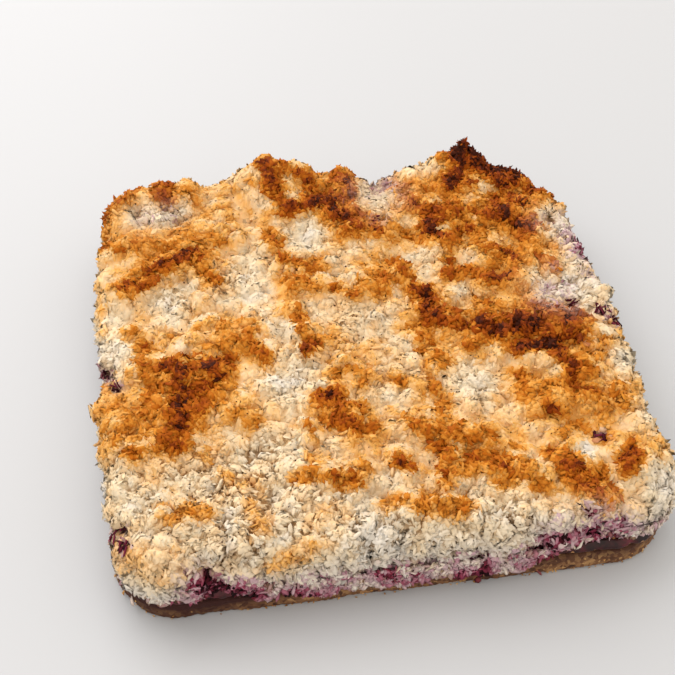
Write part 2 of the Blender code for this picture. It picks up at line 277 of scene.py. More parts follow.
def crust_surface(spread):
    """The crust's surface, from the tin's middle, for points of a square from -1 to 1.

    A point's larger coordinate is its reach: over the flat top, round a quarter circle at the shoulder,
    then down the side. Its direction picks the place round the tin. Ridges and peaks lift the point, and
    lumps push it out along the plain shape's normal: each is a dome that falls by the square of the
    distance from its centre, and it ends in a crease where the next one is as near. Returns the points and
    those normals.
    """
    reach = np.abs(spread).max(axis=1)
    direction = spread / np.maximum(reach, 1e-9)[:, None]
    direction[reach < 1e-9] = (1, 0)
    rim, normal = tin_outline(direction)

    side_height = CRUST_THICKNESS - SHOULDER_RADIUS
    shoulder_length = SHOULDER_RADIUS * math.pi / 2
    top_length = TIN_SIDE / 2 - SHOULDER_RADIUS
    travel = reach * (top_length + shoulder_length + side_height)
    turn = np.clip((travel - top_length) / SHOULDER_RADIUS, 0, math.pi / 2)
    drop = np.clip(travel - top_length - shoulder_length, 0, side_height)

    flat_share = np.clip(travel / top_length, 0, 1)
    inset = SHOULDER_RADIUS * (1 - np.sin(turn)) + bells(rim, BARE_RIMS) * MM * flat_share ** 8
    rounded = (rim - normal * inset[:, None]) * flat_share[:, None]
    square = direction * (flat_share * (TIN_SIDE / 2 - SHOULDER_RADIUS))[:, None]
    place = square + (rounded - square) * (flat_share ** 3)[:, None]
    height = CRUST_FOOT + CRUST_THICKNESS - SHOULDER_RADIUS * (1 - np.cos(turn)) - drop
    points = np.column_stack([place, height])
    outward = np.column_stack([normal * np.sin(turn)[:, None], np.cos(turn)])

    nearest, second = nearest_cells(points, CLUMP_SIZE, 3)
    clumps = CLUMP_RISE * (1 - nearest * nearest * CLUMP_FALL) * smoothstep((second - nearest) * 4 + 0.35)
    swell = SWELL_RISE * smooth_noise(points, SWELL_SIZE, 11)
    above_foot = (points[:, 2] - CRUST_FOOT) / FOOT_RISE
    held = FOOT_SHARE + (1 - FOOT_SHARE) * smoothstep(above_foot)
    push = (clumps + swell) * held - CLUMP_SINK * CLUMP_RISE
    raised = ridge_height(place) + bells(place, PEAKS) * MM
    lift = raised * smoothstep((height - CRUST_FOOT) / CRUST_THICKNESS)
    moved = points + outward * push[:, None]
    moved[:, 2] += lift
    moved[:, :2] += normal * (OVERHANG * lift * np.sin(turn))[:, None]
    moved[reach > 1 - 1e-6, 2] = CRUST_FOOT
    moved[:, 2] = np.maximum(moved[:, 2], CRUST_FOOT)
    return moved, outward


# %% [markdown]
# ## The plan
# Everything that is listed one by one, such as pits and browned patches, is laid out as on a plan at the
# level of the flat crust, seen from where the camera stands. A crest stands above that level and hides what
# is behind it, so straight down would be the wrong way to read the plan. Each point is carried along its own
# line of sight instead.

# %% Seen on the plan
CAMERA_AT = np.array((-55.2, -320.2, 362.5)) * MM
PLAN_LEVEL = 30 * MM


def seen_on_plan(points):
    """Where the line of sight through each point crosses the plan: the two triangles under it are similar."""
    share = (CAMERA_AT[2] - PLAN_LEVEL) / (CAMERA_AT[2] - points[:, 2])
    return (CAMERA_AT + (points - CAMERA_AT) * share[:, None])[:, :2]


crest = np.array([(60, 97, 45)]) * MM
print("on the plan, a crest 45 mm up moves by", ((seen_on_plan(crest) - crest[:, :2]) / MM).round(1), "mm")

# %% [markdown]
# ## Finer lumps
# The solid stops at lumps of 10 mm. On the real crust each of those is a heap of nuggets of 3 to 6 mm,
# parted by narrow creases, which gives the side light something to catch. The same cell field at that size
# adds both. Where the flakes lie loose, a finer field opens slits between them, and in a few places the
# coconut gapes in a pit. The largest crumbs, which are fused to the solid, are round bumps here at the very
# same places.

# %% Nuggets, creases and crumbs
NUGGET_SIZE = 6 * MM
NUGGET_RISE = 1.2 * MM
CREASE_DEPTH = 1.4 * MM
SLIT_SPACING = 3.2 * MM
CRUMB_COUNT = 42
CRUMB_RADII = np.linspace(4.4, 2.6, CRUMB_COUNT) * MM
CRUMB_DOME = 0.8
SPREAD_REACH = 0.92


def spread_evenly(count, start):
    """Evenly spread points of the square: the golden rule for two dimensions gives the two steps."""
    steps = np.arange(count) + start
    shares = np.column_stack([steps * 0.7548776662 % 1, steps * 0.5698402910 % 1])
    return shares * 2 * SPREAD_REACH - SPREAD_REACH


CRUMB_CENTRES, _ = crust_surface(spread_evenly(CRUMB_COUNT, 0.5))

# Pits where the coconut gapes, on the plan in millimetres: middle, half width, depth, of which the surface
# takes PIT_SHARE, and the juice in them, from 0 to 1.
PIT_SHARE = 0.6
PITS = (
    (-99, -82, 3.5, 4, 1),
    (-94, -88, 2.5, 3.5, 1),
    (-94, -81, 2.5, 3, 0.7),
    (-100, -9, 3.5, 4, 1),
    (-95, -16, 2.5, 3, 0.7),
    (-66, -103, 2.5, 3.5, 0.7),
    (-58, -97, 3, 3, 0.3),
    (-61, -90, 2.5, 2, 0.1),
    (-75, -100, 2.5, 2.5, 0.4),
    (-67, 77, 3, 3, 0.3),
    (-72, 87, 2.5, 2.5, 0.2),
    (-84, 84, 2.5, 2.5, 0),
    (-52, 30, 2.5, 2.5, 0),
    (-46, -48, 2.5, 2, 0),
    (19, 66, 3, 2.5, 0.6),
    # These two broad shallow pits darken the notch at the back: partly a real dip, partly painted shade.
    (20, 84, 9, 1.4, 0.1),
    (24, 92, 5, 1.4, 0.15),
    (45, 12, 2.5, 2, 0),
    (93, 56, 3, 3.5, 0.3),
    (86, 3, 3, 2.5, 0.7),
    (98, -3, 3, 3, 0.9),
    (101, -9, 2.5, 3, 0.9),
    (88, -18, 2, 2.5, 0.3),
    (78, -65, 2.5, 3, 0.8),
    (-30, 24, 2, 2, 0),
    (64, -96, 2.5, 2.5, 0.8),
)

# Places where the flakes lie loose, with gaps between them, on the plan in millimetres: middle, half width
# and how loose they are, from 0 to 1.
LOOSE_SPOTS = (
    (-62, -66, 22, 0.62),
    (-50, -90, 25, 0.7),
    (-40, -54, 12, 0.62),
    (2, -104, 12, 0.4),
    (-90, -58, 14, 0.53),
    (-58, -92, 8, 0.75),
    (-10, -98, 22, 0.7),
    (-22, -88, 6, 0.6),
    (30, -98, 22, 0.62),
    (42, -96, 8, 0.7),
    (66, -98, 14, 0.44),
    (-45, 38, 8, 0.7),
    (-72, 26, 12, 0.62),
    (-54, 34, 6, 0.7),
    (-70, 80, 9, 0.62),
    (-8, 56, 13, 0.62),
    (20, 80, 12, 0.53),
    (2, 5, 14, 0.7),
    (-28, -22, 14, 0.62),
    (38, -32, 14, 0.62),
    (4, -36, 10, 0.53),
    (30, 38, 9, 0.53),
    (46, 14, 8, 0.62),
    (88, 12, 13, 0.7),
    (94, 44, 10, 0.7),
    (-97, 0, 10, 0.7),
    (96, -50, 10, 0.44),
)
print(f"{CRUMB_COUNT} fused crumbs, {len(PITS)} pits, {len(LOOSE_SPOTS)} loose spots")


# %% How the finer lumps rise and open
def looseness(points):
    """How loosely the flakes lie at each point, from 0 to 1: a little everywhere, more at the loose spots."""
    patchy = 0.08 + bells(seen_on_plan(points), LOOSE_SPOTS) + 0.25 * smooth_noise(points, 9 * MM, 18)
    return np.clip(patchy, 0, 1)


def crumb_bumps(points):
    """How far the crumbs push the surface out: a dome of CRUMB_DOME radii over each crumb's centre."""
    push = np.zeros(len(points))
    for centre, radius in zip(CRUMB_CENTRES, CRUMB_RADII):
        away = np.linalg.norm(points - centre, axis=1) / radius
        push = np.maximum(push, CRUMB_DOME * radius * np.sqrt(np.clip(1 - away * away, 0, 1)))
    return push


def nugget_height(points):
    """The nuggets' rise less the depth of the gaps between them, and how far each point lies in a gap.

    A nugget falls by the square of the distance from its centre. Where two centres are nearly as near there
    is a crease, or a slit of the finer field. Noise closes some of both, and they open wider where flakes
    lie loose.
    """
    loose = looseness(points)
    nearest, second = nearest_cells(points, NUGGET_SIZE, 17)
    rise = NUGGET_RISE * (0.42 - nearest * nearest * 1.3)
    small, beside = nearest_cells(points, SLIT_SPACING, 20)
    broken = smoothstep(0.35 + 2 * smooth_noise(points, 3 * MM, 24)) * loose
    creased = smoothstep(0.6 + 1.5 * smooth_noise(points, 6 * MM, 25))
    crease = smoothstep(1.1 - (second - nearest) * 6) * creased
    slit = smoothstep(1.1 - (beside - small) * 6) * broken
    opened = np.maximum(crease * (0.25 + 0.75 * loose), slit * 0.8)
    return rise - CREASE_DEPTH * opened, opened


# %% [markdown]
# A flake has to lie on the surface, so we need to know which way the surface faces. Two short steps across
# the square to either side give two directions along it, and their cross product stands upright on both.

# %% The fine surface and its normals
PROBE = 0.005
FULL_GAP = 2


def lumpy_surface(spread):
    """The crust's surface with nuggets, creases, crumbs and pits, its plain normals, and each point's gap.

    The gap_and_shade value says from 0 to 1 how far a point lies in a crease, a slit or a pit, and the
    material paints shade by it. A pit counts in full where it is FULL_GAP millimetres deep.
    """
    points, outward = crust_surface(spread)
    nuggets, gap_and_shade = nugget_height(points)
    pit = PIT_SHARE * bells(seen_on_plan(points), [spot[:4] for spot in PITS])
    above_foot = smoothstep((points[:, 2] - CRUST_FOOT) / FOOT_RISE)
    push = (nuggets + crumb_bumps(points) - pit * MM) * above_foot
    gap_and_shade = np.maximum(gap_and_shade, np.minimum(pit / FULL_GAP, 1)) * above_foot
    return points + outward * push[:, None], outward, gap_and_shade


def fine_surface(spread):
    """The lumpy surface, its normals and its gaps."""
    points, outward, gap_and_shade = lumpy_surface(spread)
    ahead_x, behind_x, ahead_y, behind_y = (
        lumpy_surface(np.clip(spread + step, -1, 1))[0]
        for step in ((PROBE, 0), (-PROBE, 0), (0, PROBE), (0, -PROBE)))
    normal = np.cross(ahead_x - behind_x, ahead_y - behind_y)
    length = np.linalg.norm(normal, axis=1)[:, None]
    normal = np.where(length > 1e-12, normal / np.maximum(length, 1e-12), outward)
    return points, normal, gap_and_shade


# %% [markdown]
# ## Browning
# The oven browns what stands proud first, so the ridges of the form are also the darkest places, and the
# hollows stay cream. The result is one number, toast, from 0 for raw coconut to 1 for nearly burnt.
#
# Real patches have ragged edges that follow the clumps, so the places on the plan are shaken by noise. Each
# stroke has a firm middle and a wide faint halo, because coconut turns golden before it turns brown. A
# stroke could follow a formula too, but an oven browns by chance, so the strokes are listed one by one where
# the real slice is brown.

# %% Patches that are browned
# Strokes on the plan, in millimetres from the tin's middle: start, end, half width, and how brown the
# middle is.
BROWNED = (
    # back left
    (-94, 96, -98, 84, 3.5, 0.74),
    (-98, 80, -97, 70, 3.5, 0.58),
    (-102, 66, -96, 64, 3.5, 0.7),
    (-92, 97, -84, 104, 4.5, 0.7),
    (-74, 104, -72, 90, 4.5, 0.78),
    (-66, 96, -58, 92, 4.5, 0.56),
    (-90, 66, -74, 66, 6, 0.52),
    (-88, 72, -80, 71, 4, 0.46),
    (-70, 68, -50, 64, 5.5, 0.58),
    (-88, 38, -82, 42, 5.5, 0.82),
    (-80, 44, -62, 55, 5.5, 0.88),
    (-60, 50, -55, 36, 5, 0.64),
    (-57, 80, -57, 74, 5, 0.42),
    (-40, 82, -40, 78, 5, 0.42),
    (-44, 104, -40, 96, 6, 0.48),
    (-46, 92, -44, 86, 5, 0.42),
    (-101, 36, -99, 18, 5, 0.42),
    (-26, 110, -24, 88, 5, 0.84),
    (-30, 100, -28, 90, 4.5, 0.74),
    (-20, 108, -8, 101, 4.5, 0.76),
    (-4, 106, -3, 100, 4, 0.6),
    (-8, 96, -6, 84, 5, 0.84),
    (-22, 88, -18, 78, 5, 0.85),
    (-14, 78, -2, 80, 5, 0.84),
    (-24, 78, -20, 76, 4, 0.74),
    (-4, 68, 2, 60, 5, 0.82),
    (-27, 62, -27, 46, 5.5, 0.73),
    (-25, 47, -10, 40, 5, 0.66),
    (-22, 32, -12, 29, 5, 0.63),
    (-12, 30, 0, 24, 3.5, 0.68),
    (0, 24, 9, 22, 2.5, 0.6),
    (-89, 12, -86, -4, 5, 0.62),
    (-80, 8, -70, 6, 6, 0.48),
    (-60, 12, -44, 10, 6, 0.55),
    (-50, 6, -42, 0, 6, 0.55),
    (-60, 1, -50, 3, 5, 0.58),
    (-54, -5, -52, -6, 3.5, 0.8),
    (-23, 12, -22, 3, 4.5, 0.72),
    (-21, -1, -19, -6, 4, 0.78),
    (-70, 43, -69, 37, 3, 0.52),
    # back right
    (5, 108, 6, 94, 4, 0.74),
    (8, 94, 6, 82, 6.5, 0.86),
    (0, 82, 6, 70, 6, 0.88),
    (8, 74, 17, 63, 4, 0.76),
    (8, 62, 17, 57, 4, 0.74),
    (6, 58, 14, 54, 4.5, 0.64),
    (27, 52, 38, 50, 4.5, 0.66),
    (32, 90, 35, 80, 3.5, 0.66),
    (29, 88, 31, 79, 5, 0.72),
    (43, 104, 43, 99, 3, 0.46),
    (44, 91, 50, 84, 4, 0.58),
    (47, 82, 54, 80, 4, 0.6),
    (60, 100, 62, 112, 5, 0.96),
    (66, 108, 68, 118, 7, 1.03),
    (61, 113, 68, 104, 7, 1.03),
    (68, 104, 84, 94, 7, 1.02),
    (75, 94, 79, 82, 5.5, 0.93),
    (56, 94, 55, 85, 6, 0.88),
    (63, 101, 72, 95, 6, 0.98),
    (84, 96, 87, 86, 5, 0.96),
    (95, 77, 99, 68, 4, 0.84),
    (82, 84, 88, 76, 5, 0.86),
    (80, 71, 86, 66, 5.5, 0.86),
    (90, 80, 91, 72, 4, 0.76),
    (40, 77, 50, 79, 4.5, 0.62),
    (38, 89, 42, 82, 4, 0.58),
    (61, 94, 63, 84, 4.5, 0.94),
    (78, 92, 86, 88, 5, 0.97),
    (36, 74, 40, 70, 4, 0.84),
    (38, 70, 42, 60, 5.5, 0.9),
    (36, 60, 42, 56, 4, 0.8),
    (43, 55, 47, 48, 4.5, 0.93),
    (46, 70, 50, 62, 4, 0.76),
    (52, 72, 56, 60, 4.5, 0.74),
    (50, 54, 62, 53, 4, 0.84),
    (62, 66, 70, 60, 5, 0.76),
    (56, 50, 58, 44, 3.5, 0.6),
    (72, 68, 78, 54, 6, 0.88),
    (72, 73, 78, 68, 3.5, 0.74),
    (83, 56, 82, 49, 4, 0.86),
    (75, 52, 78, 44, 4.5, 0.74),
    (92, 74, 95, 66, 5, 0.68),
    (44, 69, 47, 57, 4.5, 0.78),
    (82, 44, 88, 38, 4, 0.56),
    (41, 28, 52, 26, 4.5, 0.78),
    (43, 37, 43, 32, 2.5, 0.8),
    (63, 40, 70, 37, 4.5, 0.78),
    (62, 33, 76, 31, 5, 0.62),
    (56, 23, 69, 21, 3.5, 0.82),
    (67, 28, 70, 23, 3, 0.74),
    (83, 31, 84, 26, 3, 0.8),
    (21, 38, 25, 30, 4, 0.7),
    (6, 40, 9, 33, 2.5, 0.56),
    (27, 28, 28, 22, 3.6, 0.88),
    (29, 20, 30, 4, 4.5, 0.9),
    (30, 5, 40, -3, 5.5, 0.86),
    (36, 8, 42, 5, 3.5, 0.74),
    (24, 2, 26, -8, 4, 0.68),
    (3, 28, 10, 25, 3, 0.58),
    (12, 30, 20, 27, 3.5, 0.7),
    (52, 8, 58, 3, 5, 0.62),
    (48, 0, 58, 0, 4.5, 0.74),
    (72, 5, 80, 2, 5, 0.86),
    (56, 16, 66, 14, 5, 0.46),
    (70, 21, 75, 16, 5, 0.76),
    # front left
    (-88, 6, -84, -6, 6, 0.64),
    (-80, -9, -56, -12, 6, 0.84),
    (-84, -10, -80, -26, 5, 0.74),
    (-62, -10, -58, -13, 6, 0.88),
    (-72, -14, -64, -24, 8, 0.8),
    (-69, -24, -73, -40, 10, 0.84),
    (-98, -26, -84, -30, 8, 0.58),
    (-96, -38, -84, -34, 7, 0.6),
    (-90, -48, -78, -45, 5, 0.64),
    (-56, -22, -48, -38, 8, 0.54),
    (-52, -20, -54, -31, 4, 0.6),
    (-46, -2, -41, -8, 5, 0.66),
    (-41, 6, -38, -8, 4.5, 0.64),
    (-69, -52, -62, -54, 4, 0.46),
    (-58, -62, -50, -69, 4.5, 0.42),
    (-82, -95, -78, -95, 7, 0.3),
    (-77, -77, -67, -78, 4.5, 0.54),
    (-50, -78, -48, -88, 5, 0.42),
    (-45, -106, -40, -102, 6, 0.5),
    (-36, -99, -30, -98, 5, 0.42),
    (-99, -100, -94, -97, 5, 0.42),
    (-30, -88, -22, -84, 5, 0.36),
    (-8, -19, -2, -25, 5, 0.64),
    (-16, -3, 0, -12, 5, 0.44),
    (-17, -31, -16, -42, 5.5, 0.8),
    (-14, -40, -4, -50, 6, 0.74),
    (-27, -47, -25, -47, 3, 0.72),
    (-24, -52, -24, -60, 4, 0.48),
    (-30, -66, -10, -68, 4.5, 0.64),
    (-18, -68, -16, -73, 4, 0.78),
    (-2, -84, 2, -84, 4, 0.58),
    # front right
    (5, -66, 6, -69, 3.5, 0.76),
    (9, -25, 11, -28, 3, 0.7),
    (26, -17, 30, -20, 4, 0.68),
    (88, -74, 84, -79, 5, 0.8),
    (22, -62, 22, -66, 4, 0.72),
    (18, -72, 18, -75, 4, 0.7),
    (22, -28, 24, -41, 5.5, 0.64),
    (12, -48, 22, -53, 6, 0.64),
    (22, -54, 38, -61, 6, 0.68),
    (24, -47, 30, -50, 4.5, 0.54),
    (8, -84, 20, -88, 5, 0.64),
    (32, -68, 42, -77, 6, 0.67),
    (20, -72, 34, -73, 4, 0.6),
    (46, -74, 54, -83, 5, 0.62),
    (46, -66, 50, -68, 4, 0.56),
    (50, -5, 60, -11, 6.5, 0.9),
    (44, -12, 54, -15, 5, 0.82),
    (56, -17, 64, -22, 4.5, 0.84),
    (60, -5, 86, -7, 6.5, 0.86),
    (64, -16, 84, -15, 5.5, 0.91),
    (60, -17, 66, -18, 4, 0.88),
    (76, -22, 76, -36, 5.5, 0.85),
    (93, -16, 93, -24, 4.5, 0.6),
    (86, -24, 84, -33, 4, 0.6),
    (58, -32, 60, -38, 4.5, 0.66),
    (64, -43, 65, -51, 5, 0.78),
    (76, -38, 82, -42, 4.5, 0.74),
    (82, -43, 89, -45, 4.5, 0.66),
    (66, -42, 72, -43, 4, 0.62),
    (62, -72, 66, -86, 6, 0.8),
    (66, -86, 72, -92, 6, 0.7),
    (70, -79, 72, -88, 5, 0.72),
    (64, -60, 80, -61, 4, 0.6),
    (73, -63, 81, -68, 4.5, 0.62),
    (70, -52, 78, -62, 5, 0.5),
)

# Soft regions on the plan: middle, half width, and how much more or less browned they are than the rest.
REGIONS = (
    (-60, -72, 45, -0.19),
    (-15, -98, 34, -0.2),
    (25, -100, 24, -0.12),
    (55, -100, 26, -0.17),
    (-45, 22, 12, -0.08),
    (-42, 36, 9, -0.14),
    (-20, -10, 12, -0.12),
    (-30, -24, 10, -0.16),
    (-12, 58, 12, -0.2),
    (21, 84, 11, -0.2),
    (-75, 24, 12, -0.14),
    (-96, 4, 8, -0.2),
    (-69, 82, 6, -0.22),
    (88, 14, 14, -0.26),
    (96, 46, 10, -0.2),
    (36, -34, 14, -0.14),
    (6, -36, 8, -0.1),
    (8, 4, 12, -0.14),
    (32, 38, 8, -0.14),
    (92, -88, 12, -0.26),
    (71, -70, 3, -0.4),
    (62, 62, 34, 0.08),
    (-86, 52, 16, 0.05),
    (76, -48, 24, 0.05),
    (66, 24, 14, 0.08),
    (18, 12, 8, -0.12),
    (-30, 5, 7, -0.12),
    (-94, 30, 9, -0.14),
    (-70, 37, 7, -0.12),
    (96, -30, 8, -0.12),
)

# Clumps that stayed pale inside a browned patch, on the plan: middle, half width, and how much paler, to 1.
PALE_SPOTS = (
    (71, -70, 3, 1),
    (70, 80, 5.5, 0.5),
    (-68, 82, 6, 0.85),
    (-84, 83, 7, 0.7),
    (31, 64, 5, 0.8),
    (42, 98, 6, 0.7),
    (51, 99, 5, 0.8),
    (47, 59, 2.5, 0.8),
    (59, 60, 3, 0.7),
    (45, 76, 3, 0.6),
    (62, 73, 3, 0.6),
    (66, 50, 4.5, 0.4),
    (70, 44, 4.5, 0.4),
    (33, 42, 5.5, 0.6),
    (51, 36, 5.5, 0.9),
    (92, 58, 7, 0.9),
    (33, 28, 5.5, 0.8),
    (44, 14, 5.5, 0.9),
    (82, 14, 9, 0.7),
    (95, 8, 8, 0.9),
    (97, -13, 5, 0.8),
    (98, -30, 6, 0.7),
    (50, -17, 5, 0.4),
    (66, -27, 4.5, 0.6),
    (20, 78, 8, 0.6),
    (17, 88, 5, 0.5),
    (-32, 84, 5, 0.6),
    (-6, 33, 4, 0.5),
    (-15, 88, 3, 0.8),
    (-38, 54, 6, 0.7),
    (-36, 42, 7, 0.7),
    (-12, 60, 10, 0.7),
    (-74, 24, 9, 0.7),
    (-68, 36, 5, 0.6),
    (-68, -1, 4, 0.6),
    (-96, 2, 7, 0.9),
    (-95, 20, 5, 0.6),
    (-30, 4, 5, 0.8),
    (-30, -24, 9, 0.7),
    (38, -30, 8, 0.6),
    (-36, 106, 6, 0.8),
    (-33, 92, 4, 0.4),
    (-14, 14, 6, 0.5),
    (3, -47, 5, 0.5),
    (8, 46, 5, 0.5),
)
print(f"{len(BROWNED)} browned strokes, {len(REGIONS)} soft regions, {len(PALE_SPOTS)} pale clumps")


# %% How brown each place is
TOAST_FLOOR = 0.3
HALO_SHARE = 0.3
RAGGED_EDGE = 3.4 * MM
RAW_HEIGHT, BROWN_HEIGHT = 2 * MM, 14 * MM


def browning_strokes(places):
    """The strongest stroke at each place: a firm middle, a wide halo, and what pale clumps leave of both.

    With the distance in half widths, the middle is e to minus 0.55 times its 2.4th power, which ends in a
    soft edge, and the halo is e to minus 0.2 times its square.
    """
    firm = np.zeros(len(places))
    halo = np.zeros(len(places))
    for x0, y0, x1, y1, half_width, toast in BROWNED:
        away = distance_to_line(places, np.array((x0, y0)) * MM, np.array((x1, y1)) * MM) / (half_width * MM)
        firm = np.maximum(firm, toast * np.exp(-0.55 * away ** 2.4))
        halo = np.maximum(halo, toast * np.exp(-0.2 * away ** 2))
    pale = np.clip(1 - bells(places, PALE_SPOTS), 0, 1)
    return firm * pale, halo * pale, pale


def toast_at(points):
    """Browning from 0 to 1: strokes over a soft background, both stronger on the middles of nuggets.

    Nothing browns below RAW_HEIGHT above the foot, and everything above BROWN_HEIGHT may brown in full.
    """
    shift = np.column_stack([smooth_noise(points, 7 * MM, seed) + 0.6 * smooth_noise(points, 3 * MM, seed + 2)
                             for seed in (41, 42)])
    places = seen_on_plan(points) + RAGGED_EDGE * shift
    firm, halo, pale = browning_strokes(places)
    nearest, _ = nearest_cells(points, NUGGET_SIZE, 17)
    clump = 0.55 - nearest
    firm = firm * (0.98 + 0.2 * smooth_noise(points, 3.5 * MM, 45) + 0.4 * clump)
    background = TOAST_FLOOR + bells(places, REGIONS) + 0.09 * smooth_noise(points, 12 * MM, 47)
    background += 0.1 * smooth_noise(points, 4.5 * MM, 48) + 0.18 * clump
    background *= 0.55 + 0.45 * pale
    high = smoothstep((points[:, 2] - CRUST_FOOT - RAW_HEIGHT) / (BROWN_HEIGHT - RAW_HEIGHT))
    return np.clip(np.maximum(firm, np.maximum(background, 0) + halo * HALO_SHARE) * high, 0, 1)


# %% [markdown]
# ## Berry juice
# Juice from the jam has crept up into the lowest coconut and turned it lilac and magenta. It shows along
# the foot of the sides, in a few deep hollows, and as dark threads in the pits. Like the browning it is one
# number for each place, stain.

# %% Where juice has crept up
# Spots on the plan, in millimetres: middle, half width and strength.
STAINS = (
    (-70, -105, 8, 0.85),
    (-62, -111, 6, 0.75),
    (-52, -113, 7, 0.8),
    (-43, -114, 5, 0.7),
    (-30, -114, 7, 0.68),
    (-17, -115, 8, 0.62),
    (-6, -114, 6, 0.78),
    (4, -115, 6, 0.85),
    (16, -113, 6, 0.66),
    (24, -114, 5, 0.8),
    (36, -112, 6, 0.6),
    (46, -108, 6, 0.75),
    (50, -101, 7, 0.5),
    (57, -103, 8, 0.78),
    (66, -101, 7, 0.66),
    (76, -102, 7, 0.68),
    # The next five spots, at the notch at the back, are partly real juice and partly painted shade of a
    # hollow.
    (21, 84, 10, 0.42),
    (19, 68, 5, 0.3),
    (28, 74, 6, 0.15),
    (26, 93, 6, 0.26),
    (31, 84, 7, 0.1),
    (-80, 82, 9, 0.55),
    (-68, 84, 6, 0.6),
    (98, 43, 5.5, 1.6),
    (100, 33, 6, 1.75),
    (100, 20, 5, 1.2),
    (84, 13, 10, 0.92),
    (94, 54, 8, 0.65),
    (77, 8, 4, 0.42),
    (86, 3, 4, 0.42),
    (97, -2, 5, 0.5),
    (-101, -10, 5, 0.85),
    (-96, -2, 5, 0.3),
    (-100, -84, 4, 0.6),
    (-93, -90, 5, 0.25),
)
print(f"{len(STAINS)} stained spots")


def stain_at(points):
    """Juice from 0 to 1: a patchy band near the foot, spots that fade upwards, and threads in the pits."""
    above = (points[:, 2] - CRUST_FOOT) / MM
    foot = smoothstep(1.0 - above / 7) * (0.16 + 0.3 * smooth_noise(points, 9 * MM, 61))
    spots = bells(seen_on_plan(points), STAINS) * (0.4 + 0.6 * smoothstep(2.3 - above / 6))
    streaks = 0.95 + 0.45 * smooth_noise(points, 4 * MM, 62) + 0.3 * smooth_noise(points, 2 * MM, 63)
    pits = bells(seen_on_plan(points), [(x, y, half_width, juice) for x, y, half_width, _, juice in PITS])
    strands = smoothstep(0.3 + 2.2 * smooth_noise(points, 2 * MM, 65))
    return np.clip(foot + 0.8 * spots * streaks + pits * strands, 0, 1)


# %% [markdown]
# ## From arrays to meshes
# Tens of thousands of flakes are only practical as arrays: one array holds every corner, another every
# face. This helper hands both to Blender in one go, with any numbers that the material is to read from each
# corner.

# %% A mesh from arrays
def new_piece(name, points, faces, values=None, melt=None):
    """An object from points and a list of face arrays, one array for each number of corners to a face.

    Values are numbers for the material at each point. Melt is a normal for each point and the share by
    which the shading leans towards it, which makes small things look grown together with what they lie on.
    """
    mesh = bpy.data.meshes.new(name)
    corners = np.concatenate([group.ravel() for group in faces]).astype(np.int32)
    sizes = np.concatenate([np.full(len(group), group.shape[1]) for group in faces])
    starts = np.concatenate([[0], np.cumsum(sizes)[:-1]]).astype(np.int32)
    mesh.vertices.add(len(points))
    mesh.vertices.foreach_set("co", np.ascontiguousarray(points, dtype=np.float32).ravel())
    mesh.loops.add(len(corners))
    mesh.loops.foreach_set("vertex_index", corners)
    mesh.polygons.add(len(sizes))
    mesh.polygons.foreach_set("loop_start", starts)
    mesh.update(calc_edges=True)
    mesh.validate()
    mesh.polygons.foreach_set("use_smooth", np.ones(len(sizes), dtype=bool))
    if melt:
        own = np.empty(len(points) * 3, dtype=np.float32)
        mesh.vertices.foreach_get("normal", own)
        leaning = own.reshape(-1, 3) * (1 - melt[1]) + melt[0] * melt[1]
        mesh.normals_split_custom_set_from_vertices(leaning / np.linalg.norm(leaning, axis=1)[:, None])
    for key, numbers in (values or {}).items():
        attribute = mesh.attributes.new(key, "FLOAT", "POINT")
        attribute.data.foreach_set("value", np.ascontiguousarray(numbers, dtype=np.float32))
    piece = bpy.data.objects.new(name, mesh)
    bpy.context.scene.collection.objects.link(piece)
    triangles = int((sizes - 2).sum())
    print(f"{name}: {len(points)} points, {triangles} triangles")
    return piece


def grid_faces(rows, columns, closed=False):
    """Four-cornered faces over a grid of points in rows; closed joins the last column to the first."""
    index = np.arange(rows * columns).reshape(rows, columns)
    if closed:
        index = np.column_stack([index, index[:, 0]])
    return np.stack([index[:-1, :-1], index[:-1, 1:], index[1:, 1:], index[1:, :-1]], axis=-1).reshape(-1, 4)


# %% [markdown]
# ## The core of the crust
# Under the flakes lies packed coconut. Most of it is hidden, but it shows between the flakes as soft cream
# lumps, and in the creases as dark gaps, where the shade is painted. So the core and the flakes get a number,
# gap_and_shade, which says how deep in a crease they lie, and the material paints shade by it.

# %% The core
CORE_STEPS = 300
CORE_SINK, UPRIGHT_SINK = 0.15 * MM, 0.5 * MM
CORE_GRAIN, CORE_GRAIN_RISE = 2.4 * MM, 0.35 * MM
UPRIGHT_SHADE = 0.6


def crust_core():
    """The body under the flakes: the fine surface on a square grid, closed by one flat face underneath.

    It is sunk a little under the flakes, more so on the upright sides, where shade is also painted on it
    as though they lay in a crease.
    """
    line = np.linspace(-1, 1, CORE_STEPS + 1)
    across, along = np.meshgrid(line, line)
    spread = np.column_stack([across.ravel(), along.ravel()])
    points, normal, gap_and_shade = fine_surface(spread)
    toast, stain = toast_at(points), stain_at(points)
    upright = smoothstep(1.2 - 2 * normal[:, 2])
    above_foot = smoothstep((points[:, 2] - CRUST_FOOT) / (2 * MM))
    nearest, _ = nearest_cells(points, CORE_GRAIN, 19)
    grain = CORE_GRAIN_RISE * (0.5 - nearest)
    points = points + normal * ((grain - CORE_SINK - UPRIGHT_SINK * upright) * above_foot)[:, None]
    points[:, 2] = np.maximum(points[:, 2], CRUST_FOOT)
    index = np.arange(len(points)).reshape(CORE_STEPS + 1, CORE_STEPS + 1)
    border = np.concatenate([index[0, :-1], index[:-1, -1], index[-1, :0:-1], index[:0:-1, 0]])
    faces = [grid_faces(CORE_STEPS + 1, CORE_STEPS + 1), border[::-1][None, :]]
    # Painted shade: the upright sides count as lying in a crease, so the material darkens them.
    values = {"toast": toast, "stain": stain, "gap_and_shade": np.maximum(gap_and_shade, UPRIGHT_SHADE * upright)}
    return new_piece("crust_core", points + TIN_MIDDLE, faces, values)


core = crust_core()

